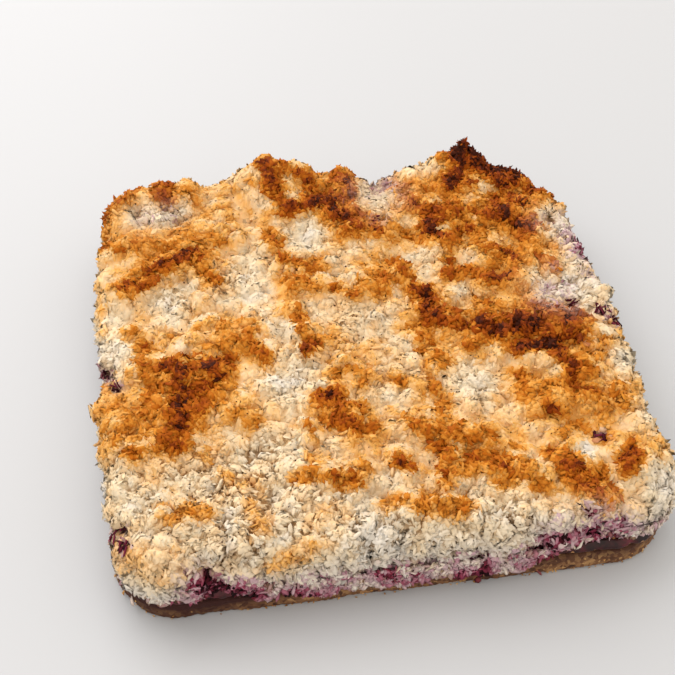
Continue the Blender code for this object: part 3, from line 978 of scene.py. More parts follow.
# %% [markdown]
# ## The flakes
# Desiccated coconut is grated and dried: it is a mix of thin curved shreds, flat broken chips and small
# grains. Three small templates of 8 to 12 triangles give them. Each flake is its template, scaled, shaken
# corner by corner, bent, turned and put down, all as arrays: flakes by corners by coordinates. The shading
# of the crust's own flakes leans towards that of the crust, so that they look as if they had melted into
# it.
#
# Where should they lie? Points drawn evenly from the square would crowd where the formula squeezes it. So
# the square is cut into small cells, the true area of each is measured, and every flake picks a cell with a
# chance in proportion to that area.

# %% Spreading points evenly over the crust
SPREAD_STEPS = 180


def even_points(count, draws):
    """Points of the square that lie evenly on the crust: cells drawn by their area, and a place in each."""
    line = np.linspace(-1, 1, SPREAD_STEPS + 1)
    across, along = np.meshgrid(line, line)
    points, _ = crust_surface(np.column_stack([across.ravel(), along.ravel()]))
    points = points.reshape(SPREAD_STEPS + 1, SPREAD_STEPS + 1, 3)
    diagonal = np.cross(points[1:, 1:] - points[:-1, :-1], points[1:, :-1] - points[:-1, 1:])
    area = np.linalg.norm(diagonal, axis=-1).ravel() / 2
    chances = (np.arange(count) + draws.random(count)) / count
    picked = np.minimum(np.searchsorted(np.cumsum(area) / area.sum(), chances), len(area) - 1)
    row, column = np.divmod(picked, SPREAD_STEPS)
    return (np.column_stack([column, row]) + draws.random((count, 2))) / SPREAD_STEPS * 2 - 1


# %% Three kinds of flake
def shred_template():
    """A spindle along X: two rings of three corners between two tips."""
    angles = np.radians((90, 210, 330))
    ring = np.column_stack([np.cos(angles), np.sin(angles)]) / 2
    rings = [np.column_stack([np.full(3, x), ring * size]) for x, size in ((-0.3, 0.95), (0.25, 1.0))]
    points = np.concatenate([*rings, [(-0.5, 0, 0), (0.5, 0, 0)]])
    beside = ((0, 1), (1, 2), (2, 0))
    sides = [(a, b, 3 + b, 3 + a) for a, b in beside]
    tips = [(b, a, 6) for a, b in beside] + [(3 + a, 3 + b, 7) for a, b in beside]
    return points, [np.array(sides), np.array(tips)]


def chip_template():
    """A flat chip like a lens: six corners round its edge, and one above and one below the middle."""
    angles = np.arange(6) * math.pi / 3
    edge = np.column_stack([np.cos(angles), np.sin(angles), np.zeros(6)]) / 2
    points = np.concatenate([edge, [(0, 0, 0.5), (0, 0, -0.5)]])
    upper = [(a, (a + 1) % 6, 6) for a in range(6)]
    lower = [((a + 1) % 6, a, 7) for a in range(6)]
    return points, [np.array(upper + lower)]


def grain_template():
    """A grain: an octahedron."""
    points = [(0.5, 0, 0), (-0.5, 0, 0), (0, 0.5, 0), (0, -0.5, 0), (0, 0, 0.5), (0, 0, -0.5)]
    faces = [(0, 2, 4), (2, 1, 4), (1, 3, 4), (3, 0, 4), (2, 0, 5), (1, 2, 5), (3, 1, 5), (0, 3, 5)]
    return np.array(points), [np.array(faces)]


# %% Putting flakes down
def turned(normal, tilt, roll, draws):
    """Three axes for each flake: its length leans out of the surface by up to tilt, and it rolls by roll.

    Both angles are in radians. The lean and the heading are drawn evenly, and roll is a sigma.
    """
    count = len(normal)
    helper = np.where(np.abs(normal[:, 2:]) < 0.9, (0, 0, 1), (1, 0, 0))
    side = np.cross(helper, normal)
    side /= np.linalg.norm(side, axis=1)[:, None]
    other = np.cross(normal, side)
    heading = draws.random(count)[:, None] * 2 * math.pi
    lean = (draws.random(count) * 2 - 1)[:, None] * tilt[:, None]
    rolled = draws.normal(0, 1, count)[:, None] * roll[:, None]
    flat = np.cos(heading) * side + np.sin(heading) * other
    length = np.cos(lean) * flat + np.sin(lean) * normal
    width = np.cross(normal, flat)
    height = np.cross(length, width)
    return np.stack([length, np.cos(rolled) * width + np.sin(rolled) * height,
                     np.cos(rolled) * height - np.sin(rolled) * width], axis=1)


def flake_meshes(template, places, axes, sizes, shake, bend, draws):
    """Every flake's corners: template times size, shaken, bent by its length's square, turned and moved.

    The shake counts in widths of the flake, the bend in lengths. A bent flake keeps its mean height.
    """
    shape, groups = template
    count, corners = len(places), len(shape)
    local = shape[None] * sizes[:, None, :]
    local = local + draws.normal(0, shake, (count, corners, 3)) * sizes[:, None, 1:2]
    curve = draws.normal(0, bend, count)[:, None] * (0.08 - shape[None, :, 0] ** 2) * sizes[:, None, 0]
    local[:, :, 2] += curve
    points = places[:, None] + np.einsum("nvi,nij->nvj", local, axes)
    offsets = (np.arange(count) * corners)[:, None, None]
    faces = [(group[None] + offsets).reshape(-1, group.shape[1]) for group in groups]
    return points.reshape(-1, 3), faces


# %% [markdown]
# Pale flakes lie nearly flat and half sunk, stuck together by sugar and butter, so a pale lump looks creamy
# and smooth. Where the coconut lies loose they lean a little more and cast shadows on each other. Where
# they are browned they have dried out and stand up, which makes the dark patches look bristly. So do the
# flakes on the upright sides. The kinds are kept apart, and so are the pale and the browned ones, so that
# each piece stays small enough to handle.

# %% The crust's own flakes
FLAKE_SEED = 20
BROWN_FROM = 0.42
SHREDS, CHIPS, GRAINS = 30000, 25000, 8000
# Length, width and thickness in millimetres.
SHRED_SIZE, CHIP_SIZE, GRAIN_SIZE = (3.5, 1.15, 0.85), (3.0, 1.7, 0.65), (1.6, 1.3, 1.1)
# How much a flake leans, in degrees, and rolls, in radians: packed, and what loose and bristly ones add.
LEAN, LOOSE_LEAN, BRISTLY_LEAN = 7, 12, 38
ROLL, LOOSE_ROLL, BRISTLY_ROLL = 0.1, 0.25, 0.3
BRISTLY_GROWTH = 0.22
# How far the shading of a flake leans towards that of the crust: pale, browned, and what loose ones lose.
PALE_MELT, TOASTED_MELT, LOOSE_MELT = 0.85, 0.55, 0.3


def crust_flakes(kind, template, count, size, spread_of_size, shake, bend, seed):
    """Flakes of one kind all over the crust, parted into pale and browned ones.

    Size is the usual one, and spread_of_size the sigma of the lognormal draws that change it. Browned
    flakes and those on the upright sides are bristly: they lean, roll and stand out more, and are larger.
    Fewer flakes lie in the gaps, so that those stay open. A browned flake's tips are browner than its
    middle.
    """
    draws = np.random.default_rng(FLAKE_SEED + seed)
    surface, normal, gap_and_shade = fine_surface(even_points(count, draws))
    toast, stain = toast_at(surface), stain_at(surface)
    toast = toast + draws.normal(0, 0.012 + 0.06 * toast ** 2, count)
    bristly = np.maximum(smoothstep((toast - 0.4) / 0.35), 0.8 * smoothstep(1.3 - 2 * normal[:, 2]))
    loose = looseness(surface)
    axes = turned(normal, np.radians(LEAN + LOOSE_LEAN * loose + BRISTLY_LEAN * bristly),
                  ROLL + LOOSE_ROLL * loose + BRISTLY_ROLL * bristly, draws)
    out = draws.uniform(-0.6, -0.15, count) + loose * draws.uniform(0, 0.25, count)
    out += bristly * draws.uniform(0.05, 0.8, count)
    places = surface + normal * (out * MM)[:, None]
    places[:, 2] = np.maximum(places[:, 2], CRUST_FOOT + 0.4 * MM)
    growth = 1 + BRISTLY_GROWTH * bristly
    sizes = np.array(size) * MM * draws.lognormal(0, spread_of_size, (count, 3)) * growth[:, None]
    stain = np.clip(stain + draws.normal(0, 0.15, count) * smoothstep(stain * 4), 0, 1)
    kept = (gap_and_shade < draws.uniform(0.4, 1.1, count)) & (draws.random(count) < 0.5 + np.maximum(loose, bristly))
    browned = toast > BROWN_FROM
    parts = (("pale", kept & ~browned, PALE_MELT), ("toasted", kept & browned, TOASTED_MELT))
    for label, chosen, melt in parts:
        points, faces = flake_meshes(template, places[chosen], axes[chosen], sizes[chosen],
                                     shake, bend, draws)
        tips = np.abs(template[0][:, 0]) * 2
        edge = toast[chosen][:, None] + (tips - 0.5)[None] * 0.1 * smoothstep(toast[chosen] * 2)[:, None]
        # Painted shade: flakes get 0.8 of the gap_and_shade under them, which darkens those deep in creases.
        values = {"toast": np.clip(edge, 0, 1).ravel(), "stain": np.repeat(stain[chosen], len(tips)),
                  "gap_and_shade": np.repeat(0.8 * gap_and_shade[chosen], len(tips))}
        melted = np.repeat(melt - LOOSE_MELT * loose[chosen][:, None], len(tips), axis=0)
        smooth_normal = np.repeat(normal[chosen], len(tips), axis=0)
        yield new_piece(f"{label}_{kind}", points + TIN_MIDDLE, faces, values, melt=(smooth_normal, melted))


flakes = [
    *crust_flakes("shreds", shred_template(), SHREDS, SHRED_SIZE, 0.18, shake=0.07, bend=0.35, seed=1),
    *crust_flakes("chips", chip_template(), CHIPS, CHIP_SIZE, 0.2, shake=0.07, bend=0.2, seed=2),
    *crust_flakes("grains", grain_template(), GRAINS, GRAIN_SIZE, 0.2, shake=0.08, bend=0, seed=3),
]

# %% [markdown]
# ## The longest shreds
# The 96 longest shreds are fused to the solid, so they come here at the same places, at the same tilt: the
# draws below repeat the ones that turned them there. The solid has plain bars, and here they taper.

# %% Long shreds
SHRED_COUNT = 96
SHRED_LENGTHS = np.linspace(6, 4, SHRED_COUNT) * MM
SHRED_WIDTH = 1.9 * MM
SHRED_THICKNESS = 1 * MM


def long_shreds():
    """The long shreds: each leans on the crust by 15 to 60 degrees, turned any way about the normal."""
    surface, outward = crust_surface(spread_evenly(SHRED_COUNT, CRUMB_COUNT + 0.5))
    draws = random.Random(7)
    axes = []
    for normal in outward:
        tilt = Matrix.Rotation(math.radians(draws.uniform(15, 60)), 3, "Y")
        turn = Matrix.Rotation(draws.uniform(0, 2 * math.pi), 3, "Z")
        upright = Vector((0, 0, 1)).rotation_difference(Vector(normal)).to_matrix()
        axes.append(np.array(upright @ turn @ tilt).T)
    places = surface + outward * SHRED_THICKNESS * 0.7
    across = np.tile((SHRED_WIDTH, SHRED_THICKNESS), (SHRED_COUNT, 1))
    sizes = np.column_stack([SHRED_LENGTHS, across])
    shaken = np.random.default_rng(FLAKE_SEED)
    points, faces = flake_meshes(shred_template(), places, np.array(axes), sizes, 0.05, 0.2, shaken)
    corners = len(points) // SHRED_COUNT
    values = {"toast": np.repeat(toast_at(surface), corners), "stain": np.repeat(stain_at(surface), corners)}
    return new_piece("long_shreds", points + TIN_MIDDLE, faces, values)


flakes.append(long_shreds())

# %% [markdown]
# ## Round the rim
# The jam, the base and the flakes that hang over them all follow the tin's outline. One number from 0 to 1
# says how far round it a point is, and a second function says how low the coconut hangs there. Along the
# middle of the front it covers the jam and the base's upper edge. At the two front corners it stops short
# and both show.

# %% The outline and how low the coconut hangs
FULL_COVER, NO_COVER = 6.4 * MM, 14 * MM
FRINGE = 2.6 * MM
# Where the cover along the front starts and ends, in millimetres from the tin's middle.
COVER_FROM, COVER_TO = -64, 54


def rim_at(around):
    """Points and outward normals of the tin's outline for numbers from 0 to 1, the same step all round."""
    straight = TIN_SIDE / 2 - CORNER_RADIUS
    quarter = 2 * straight + CORNER_RADIUS * math.pi / 2
    side, along = np.divmod(np.asarray(around) % 1 * 4 * quarter, quarter)
    bend = np.clip((along - 2 * straight) / CORNER_RADIUS, 0, math.pi / 2)
    x = np.minimum(along, 2 * straight) - straight + CORNER_RADIUS * np.sin(bend)
    y = -straight - CORNER_RADIUS * np.cos(bend)
    turn = side * math.pi / 2
    cosine, sine = np.cos(turn), np.sin(turn)
    normal = np.column_stack([np.sin(turn + bend), -np.cos(turn + bend)])
    return np.column_stack([x * cosine - y * sine, x * sine + y * cosine]), normal


def hang_level(rim):
    """The height down to which coconut hangs: low along the front's middle, and in patches elsewhere.

    At the front's corners it still hangs FRINGE lower than where it is bare elsewhere, and noise makes the
    edge ragged, more so along the front.
    """
    flat = np.column_stack([rim, np.zeros(len(rim))])
    x, y = rim.T / MM
    at_front = smoothstep((-80 - y) / 10)
    middle = smoothstep((x - COVER_FROM) / 30) * smoothstep((COVER_TO - x) / 12) * at_front
    elsewhere = smoothstep(0.3 + 1.1 * smooth_noise(flat, 30 * MM, 71)) * 0.75 * smoothstep((y + 70) / 20)
    covered = np.maximum(middle, elsewhere)
    bare = NO_COVER - FRINGE * at_front
    ragged = (1.3 * smooth_noise(flat, 7 * MM, 72) + 0.9 * smooth_noise(flat, 2.5 * MM, 73)) * MM
    return bare + (FULL_COVER - bare) * covered + ragged * (1 + 0.4 * at_front)


# %% [markdown]
# ## The layers that show at the side
# A layer's side is a surface of two parameters: how far round the rim, and a row on its profile from the
# bottom to the top. Each row is the outline, moved in or out by the profile, lifted to its height, and made
# uneven by noise. Flat faces close it at the top and the bottom.

# %% A layer from a profile
def rim_layer(name, profile, columns, unevenness, values=None):
    """A layer: rows of (inset, height) carried round the outline, and pushed out by unevenness(points).

    Each of the values is a function of the points too, and its numbers go to the material.
    """
    rim, normal = rim_at(np.arange(columns) / columns)
    rows = []
    for inset, height in profile:
        points = np.column_stack([rim - normal * inset, np.full(columns, height)])
        push = unevenness(points)
        points[:, :2] += normal * push[:, None]
        rows.append(points)
    points = np.concatenate(rows)
    last = (len(profile) - 1) * columns
    caps = [np.arange(columns)[::-1][None, :], (last + np.arange(columns))[None, :]]
    numbers = {key: rule(points) for key, rule in (values or {}).items()}
    faces = [grid_faces(len(profile), columns, closed=True), *caps]
    return new_piece(name, points + TIN_MIDDLE, faces, numbers)


# %% [markdown]
# ### The biscuit base
# The base is crushed biscuit pressed flat with butter, and it has a small round lower edge from the tin.
# Its side is a crumbly wall: grains of 1 to 2 mm stand out of it, so the noise is fine and strong.

# %% The base's form
BASE_COLUMNS = 1500
BASE_EDGE = 1.6 * MM
BISCUIT_GRAIN = 1.9 * MM


def base_profile():
    """Rows up the base: a quarter round at the bottom, an upright side, and a short way in over the top."""
    rows = [(BASE_EDGE * (1 - math.sin(turn)), BASE_EDGE * (1 - math.cos(turn)))
            for turn in np.linspace(0, math.pi / 2, 5)]
    rows += [(0.4 * MM * step ** 4, BASE_EDGE + (BASE_TOP - BASE_EDGE) * step)
             for step in np.linspace(0.12, 1, 11)]
    return rows + [(2.5 * MM, BASE_TOP)]


def base_unevenness(points):
    """Slow waves that the solid has, and grains on top of them, which stop at the flat underside."""
    waves = 0.5 * MM * smooth_noise(points, 9 * MM, 21)
    nearest, _ = nearest_cells(points, BISCUIT_GRAIN, 22)
    grains = 0.55 * MM * (0.6 - nearest) + 0.2 * MM * smooth_noise(points, 0.9 * MM, 23)
    return waves + grains * smoothstep(points[:, 2] / (0.6 * MM))


def juice_in_base(points):
    """How far juice has soaked in, from 0 to 1: from the top down, and all through at the front left."""
    from_top = smoothstep((points[:, 2] - 0.45 * BASE_TOP) / (0.55 * BASE_TOP)) * 0.6
    x, y = points[:, :2].T / MM
    front_left = smoothstep((-30 - x) / 40) * smoothstep((-60 - y) / 25) * 0.68
    patches = 0.3 * smooth_noise(points, 14 * MM, 24)
    return np.clip(from_top + front_left + patches, 0, 1)


base = rim_layer("crumbly_base", base_profile(), BASE_COLUMNS, base_unevenness, {"soak": juice_in_base})

# %% [markdown]
# ### The jam
# The jam has boiled up in the oven and set again: it bulges out between the base and the crust, in soft
# lobes with sharp creases, and shines. Where the crust is drawn back, its top shows as well.

# %% The jam's form
JAM_COLUMNS = 1100
LOBE_SIZE = 5 * MM


def jam_profile():
    """Rows up the jam: out and back in a lopsided bulge, which is a sine, then a long way in over the top."""
    height = JAM_TOP - JAM_FOOT
    bulge = [((1.2 - 1.7 * math.sin(math.pi * step ** 0.8)) * MM, JAM_FOOT + height * step)
             for step in np.linspace(0, 0.96, 11)]
    return bulge + [(inset * MM, JAM_TOP) for inset in (1.4, 2.2, 3.4, 5, 7, 9, 12)]


def jam_unevenness(points):
    """The solid's waves and lobes about 5 mm wide, held to 1.4 mm, and pulled in where coconut covers it."""
    waves = 1.2 * MM * smooth_noise(points, 9 * MM, 33)
    nearest, second = nearest_cells(points, LOBE_SIZE, 34)
    lobes = 0.7 * MM * (0.5 - nearest) * smoothstep((second - nearest) * 4 + 0.4)
    covered = smoothstep((NO_COVER - hang_level(points[:, :2])) / (4 * MM))
    return np.minimum(waves + lobes, 1.4 * MM) - 1.3 * MM * covered


jam = rim_layer("shiny_jam", jam_profile(), JAM_COLUMNS, jam_unevenness)

# %% [markdown]
# ### Flakes that hang down
# These flakes slid down over the jam. They are drawn like the others, but their places come from the rim: a
# number round it and a height, kept only where the height is above the level that the coconut hangs to. The
# ones that lie further in are in the shade of the others, so shade is painted on them by a higher
# gap_and_shade.

# %% Hanging flakes
HANGING = 6300
LOOSE_SHARE = 0.0015
HANGING_SHRED_SIZE, HANGING_CHIP_SIZE = (4.0, 1.5, 0.9), (3.4, 2.3, 0.7)


def hanging_flakes(kind, template, size, seed):
    """Flakes on the upright side: dense above the level that the coconut hangs to, rare below it.

    They stand out further well above the level, and step back where the rim is bare. Juice dyes them in
    patches, and most near the level. Those that lie further in get painted shade by a higher gap_and_shade.
    """
    draws = np.random.default_rng(FLAKE_SEED + seed)
    rim, normal = rim_at(draws.random(HANGING))
    height = draws.uniform(1.5 * MM, CRUST_FOOT + 3 * MM, HANGING)
    level = hang_level(rim)
    kept = (height > level) | (draws.random(HANGING) < LOOSE_SHARE)
    rim, normal, height, level = rim[kept], normal[kept], height[kept], level[kept]
    count = len(rim)
    above_base = smoothstep((height - JAM_FOOT) / (3 * MM))
    drawn_back = np.maximum(bells(rim, BARE_RIMS) * MM, -1 * MM) * above_base
    depth = smoothstep((height - level) / (3 * MM))
    out = (0.5 + 0.9 * depth) * MM + draws.uniform(-0.5, 0.4, count) * MM - drawn_back
    places = np.column_stack([rim + normal * out[:, None], height])
    flat_normal = np.column_stack([normal, np.full(count, 0.25)])
    flat_normal /= np.linalg.norm(flat_normal, axis=1)[:, None]
    axes = turned(flat_normal, np.full(count, 0.7), np.full(count, 0.6), draws)
    sizes = np.array(size) * MM * draws.lognormal(0, 0.18, (count, 3))
    points, faces = flake_meshes(template, places, axes, sizes, 0.08, 0.3, draws)
    points[:, 2] = np.maximum(points[:, 2], 0.2 * MM)
    corners = len(template[0])
    low = smoothstep(1.4 - (height - level) / (4 * MM)) * (0.1 + 0.25 * smooth_noise(places, 12 * MM, 64))
    patches = 0.3 * smooth_noise(places, 5 * MM, 67)
    stain = np.clip(stain_at(places) * 0.8 + low + patches + draws.normal(0, 0.1, count), 0, 1)
    # Painted shade: flakes further in, or behind others, are darkened as lying in their shade.
    shaded_behind = np.clip(0.7 - (out + drawn_back) / (1.5 * MM) + 1.1 * smooth_noise(places, 2.5 * MM, 68), 0, 1)
    values = {"toast": np.repeat(draws.uniform(0, 0.12, count), corners), "stain": np.repeat(stain, corners),
              "gap_and_shade": np.repeat(shaded_behind, corners)}
    return new_piece(f"hanging_{kind}", points + TIN_MIDDLE, faces, values)


flakes += [
    hanging_flakes("shreds", shred_template(), HANGING_SHRED_SIZE, seed=11),
    hanging_flakes("chips", chip_template(), HANGING_CHIP_SIZE, seed=12),
]

# %% [markdown]
# ### Crumbs and berry strands
# Three small things finish it. Golden biscuit crumbs came loose along the lower edge of the base, and tiny
# burnt specks of coconut lie all over the top: both are grains, as above. In the juicy pits lie dark
# strands of berry skin: they are shreds, drawn evenly over the whole crust and kept only near the middle of
# such a pit.

# %% Biscuit crumbs, burnt specks and berry strands
BASE_CRUMBS = 300
SPECKS = 700
STRAND_TRIES = 24000
# Length, width and thickness in millimetres.
CRUMB_SIZE, SPECK_SIZE, STRAND_SIZE = (1.2, 1.0, 0.8), (0.8, 0.55, 0.5), (4.2, 1.1, 0.8)
SPECK_REACH = 0.84
JUICY = 0.5


def base_crumbs():
    """Crumbs round the foot of the base, most of them low down: the height goes by the cube of a draw."""
    draws = np.random.default_rng(FLAKE_SEED + 21)
    rim, normal = rim_at(draws.random(BASE_CRUMBS))
    height = 0.5 * MM + 6 * MM * draws.random(BASE_CRUMBS) ** 3
    places = np.column_stack([rim + normal * draws.uniform(-0.2, 0.5, BASE_CRUMBS)[:, None] * MM, height])
    sizes = np.array(CRUMB_SIZE) * MM * draws.lognormal(-0.2, 0.3, (BASE_CRUMBS, 3))
    axes = turned(np.column_stack([normal, np.zeros(BASE_CRUMBS)]), np.full(BASE_CRUMBS, 0.6),
                  np.full(BASE_CRUMBS, 1.0), draws)
    points, faces = flake_meshes(grain_template(), places, axes, sizes, 0.1, 0, draws)
    points[:, 2] = np.maximum(points[:, 2], 0.05 * MM)
    return new_piece("base_crumbs", points + TIN_MIDDLE, faces)


def burnt_specks():
    """Specks of about half a millimetre over the whole top, burnt nearly black."""
    draws = np.random.default_rng(FLAKE_SEED + 22)
    surface, normal, _ = fine_surface(draws.uniform(-SPECK_REACH, SPECK_REACH, (SPECKS, 2)))
    places = surface + normal * draws.uniform(0.2, 0.6, SPECKS)[:, None] * MM
    sizes = np.array(SPECK_SIZE) * MM * draws.lognormal(-0.1, 0.3, (SPECKS, 3))
    axes = turned(normal, np.full(SPECKS, 0.5), np.full(SPECKS, 1.0), draws)
    points, faces = flake_meshes(grain_template(), places, axes, sizes, 0.1, 0, draws)
    values = {"toast": np.ones(len(points)), "stain": np.zeros(len(points))}
    return new_piece("burnt_specks", points + TIN_MIDDLE, faces, values)


def berry_strands():
    """Dark strands of berry skin in the pits with more juice than JUICY: long shreds that lie nearly flat."""
    draws = np.random.default_rng(FLAKE_SEED + 23)
    juicy = np.array([spot[:3] for spot in PITS if spot[4] > JUICY])
    surface, normal, _ = fine_surface(even_points(STRAND_TRIES, draws))
    away = np.linalg.norm(seen_on_plan(surface)[:, None] - juicy[None, :, :2] * MM, axis=-1)
    near = (away / (juicy[:, 2] * MM)).min(axis=1) < draws.uniform(0, 1.15, STRAND_TRIES)
    places = surface[near] + 0.3 * MM * normal[near]
    count = len(places)
    sizes = np.array(STRAND_SIZE) * MM * draws.lognormal(0, 0.25, (count, 3))
    axes = turned(normal[near], np.full(count, 0.2), np.full(count, 0.4), draws)
    points, faces = flake_meshes(shred_template(), places, axes, sizes, 0.12, 0.5, draws)
    corners = len(points) // count
    values = {"toast": np.zeros(len(points)), "stain": np.repeat(draws.uniform(0.86, 1, count), corners)}
    return new_piece("berry_strands", points + TIN_MIDDLE, faces, values)


crumbs = base_crumbs()
flakes += [burnt_specks(), berry_strands()]

# %% [markdown]
# ## Materials
# Every material starts from what the real thing is. Colours are written as the hex values that a picture
# program would show, and one function turns them to the linear values that the shader adds up. A second one
# adds a node with its settings and links, so that each material reads as a short list.

# %% Colours and nodes
def linear(hex_colour):
    """An sRGB hex colour as linear red, green, blue and a full alpha."""
    channels = [int(hex_colour[i:i + 2], 16) / 255 for i in (1, 3, 5)]
    return (*[c / 12.92 if c <= 0.04045 else ((c + 0.055) / 1.055) ** 2.4 for c in channels], 1)


def add_node(tree, kind, settings=None, **inputs):
    """Adds a node, sets its properties, and links or sets its inputs.

    An input is named with underscores for spaces, or by its number after an i where names repeat.
    """
    node = tree.nodes.new(kind)
    for key, value in (settings or {}).items():
        setattr(node, key, value)
    for key, value in inputs.items():
        by_number = key[0] == "i" and key[1:].isdigit()
        socket = node.inputs[int(key[1:]) if by_number else key.replace("_", " ")]
        if isinstance(value, bpy.types.NodeSocket):
            tree.links.new(value, socket)
        else:
            socket.default_value = value
    return node


def set_stops(ramp, stops):
    """Gives a Color Ramp node these stops: pairs of a place from 0 to 1 and a hex colour."""
    elements = ramp.color_ramp.elements
    for place, _ in stops[1:-1]:
        elements.new(place)
    for element, (place, hex_colour) in zip(elements, stops):
        element.position = place
        element.color = linear(hex_colour)


def new_material(name, **values):
    """A material with only its output and a Principled shader, whose sockets get these values."""
    material = bpy.data.materials.new(name)
    material.use_nodes = True
    shader = material.node_tree.nodes["Principled BSDF"]
    for key, value in values.items():
        shader.inputs[key.replace("_", " ")].default_value = value
    return material, material.node_tree, shader


# %% [markdown]
# Desiccated coconut is dried white flesh with no gloss to speak of. Packed, it lets a little light in,
# which softens the shadows in the gaps, so the core scatters light inside. The flakes could too, but then
# they melt into each other, and opaque ones keep their edges. Toasting takes coconut from cream through
# gold and orange brown to a dark brown. Three numbers on each corner pick the colour: toast runs along a
# ramp, stain mixes in a ramp of juice, and gap_and_shade paints shade, darker and warmer, on what lies
# deep. Thin dark slits between clumps are painted shade too, and the core is painted a little darker
# than the flakes, as shade under them.

# %% Coconut
TOAST_STOPS = (
    (0.0, "#DCD3C7"),
    (0.2, "#E7D2B1"),
    (0.34, "#EAC390"),
    (0.46, "#E2A95C"),
    (0.58, "#CE852C"),
    (0.7, "#B2610E"),
    (0.82, "#984506"),
    (0.92, "#6E2903"),
    (1.0, "#381203"),
)
JUICE_STOPS = (
    (0.0, "#DDD4CA"),
    (0.3, "#CFBAB3"),
    (0.5, "#BC9CA2"),
    (0.68, "#AC6E7E"),
    (0.82, "#8C374E"),
    (0.92, "#571A28"),
    (1.0, "#24090D"),
)
# Painted shade: how much darker and warmer the colour grows with gap_and_shade, for what lies deep.
PAINTED_SHADE_STOPS = (
    (0.0, "#FFFFFF"),
    (0.4, "#EADFD1"),
    (0.75, "#B59C81"),
    (1.0, "#735E4A"),
)


def coconut(name, shade, shading):
    """Dried coconut: the toasting ramp, dyed by the juice where there is any, and darker in the gaps.

    The darkening in the gaps is painted shade. Flecks of 1.8 mm differ a little in brightness, and between
    some clumps of 2.6 mm there are thin dark slits of painted shade. The argument shade scales all of the
    colour, so a value under 1 paints shade.
    """
    material, tree, shader = new_material(name, **shading)
    toast = add_node(tree, "ShaderNodeAttribute", {"attribute_name": "toast"})
    stain = add_node(tree, "ShaderNodeAttribute", {"attribute_name": "stain"})
    gap_and_shade = add_node(tree, "ShaderNodeAttribute", {"attribute_name": "gap_and_shade"})
    browning = add_node(tree, "ShaderNodeValToRGB", Fac=toast.outputs["Fac"])
    set_stops(browning, TOAST_STOPS)
    juice = add_node(tree, "ShaderNodeValToRGB", Fac=stain.outputs["Fac"])
    set_stops(juice, JUICE_STOPS)
    soaked = add_node(tree, "ShaderNodeMapRange", Value=stain.outputs["Fac"], From_Min=0.0, From_Max=0.4)
    dyed = add_node(tree, "ShaderNodeMix", {"data_type": "RGBA"}, i0=soaked.outputs["Result"],
                    i6=browning.outputs["Color"], i7=juice.outputs["Color"])
    place = add_node(tree, "ShaderNodeTexCoord").outputs["Object"]
    flecks = add_node(tree, "ShaderNodeTexVoronoi", Vector=place, Scale=1 / (1.8 * MM))
    fleck = add_node(tree, "ShaderNodeSeparateColor", Color=flecks.outputs["Color"])
    mottle_and_shade = add_node(tree, "ShaderNodeMapRange", Value=fleck.outputs["Red"], To_Min=shade * 0.96,
                       To_Max=shade)
    # Painted shade from gap_and_shade, multiplied into the colour.
    depth = add_node(tree, "ShaderNodeValToRGB", Fac=gap_and_shade.outputs["Fac"])
    set_stops(depth, PAINTED_SHADE_STOPS)
    shaded = add_node(tree, "ShaderNodeMix", {"data_type": "RGBA", "blend_type": "MULTIPLY"}, i0=1.0,
                      i6=dyed.outputs[2], i7=depth.outputs["Color"])
    # Painted shade: thin dark slits along the edges of cells of 2.6 mm, where noise opens them.
    cells = add_node(tree, "ShaderNodeTexVoronoi", {"feature": "DISTANCE_TO_EDGE"}, Vector=place,
                     Scale=1 / (2.6 * MM))
    here = add_node(tree, "ShaderNodeTexNoise", Vector=place, Scale=1 / (3 * MM), Detail=1.0)
    width = add_node(tree, "ShaderNodeMapRange", Value=here.outputs["Fac"], From_Min=0.54, From_Max=0.68,
                     To_Min=-0.06, To_Max=0.1)
    edge = add_node(tree, "ShaderNodeMath", {"operation": "SUBTRACT"}, i0=cells.outputs["Distance"],
                    i1=width.outputs["Result"])
    slit = add_node(tree, "ShaderNodeMapRange", Value=edge.outputs["Value"], From_Min=-0.02, From_Max=0.05,
                    To_Min=0.66, To_Max=1.0)
    fleck_tone_and_shade = add_node(tree, "ShaderNodeMath", {"operation": "MULTIPLY"}, i0=mottle_and_shade.outputs["Result"],
                        i1=slit.outputs["Result"])
    final = add_node(tree, "ShaderNodeMix", {"data_type": "RGBA", "blend_type": "MULTIPLY"}, i0=1.0,
                     i6=shaded.outputs[2], i7=fleck_tone_and_shade.outputs["Value"])
    tree.links.new(final.outputs[2], shader.inputs["Base Color"])
    return material


DRY_FLAKE = {"Roughness": 0.7, "IOR": 1.45, "Specular_IOR_Level": 0.12}
PACKED = {
    **DRY_FLAKE,
    "Subsurface_Weight": 0.6,
    "Subsurface_Radius": (1.0, 0.85, 0.7),
    "Subsurface_Scale": 1.2 * MM,
}
flake_coconut = coconut("dried_coconut_flakes", 1.0, DRY_FLAKE)
# Painted shade: the core is drawn a little darker than the flakes, as lying under them.
core_coconut = coconut("packed_coconut", 0.98, PACKED)
core.data.materials.append(core_coconut)
for piece in flakes:
    piece.data.materials.append(flake_coconut)

# %% [markdown]
# Set raspberry jam is boiled fruit pulp, sugar and pectin: nearly black where it is thick, wine red where
# it is thin, with a wet gloss that baking has dulled. Fine pulp in it makes the gloss wobble, and the seeds
# show as small pale dots.

# %% Raspberry jam
JAM_STOPS = ((0.3, "#140605"), (0.48, "#240B0B"), (0.59, "#3E1214"), (0.71, "#621C28"))
SEED_COLOUR = "#A8784A"


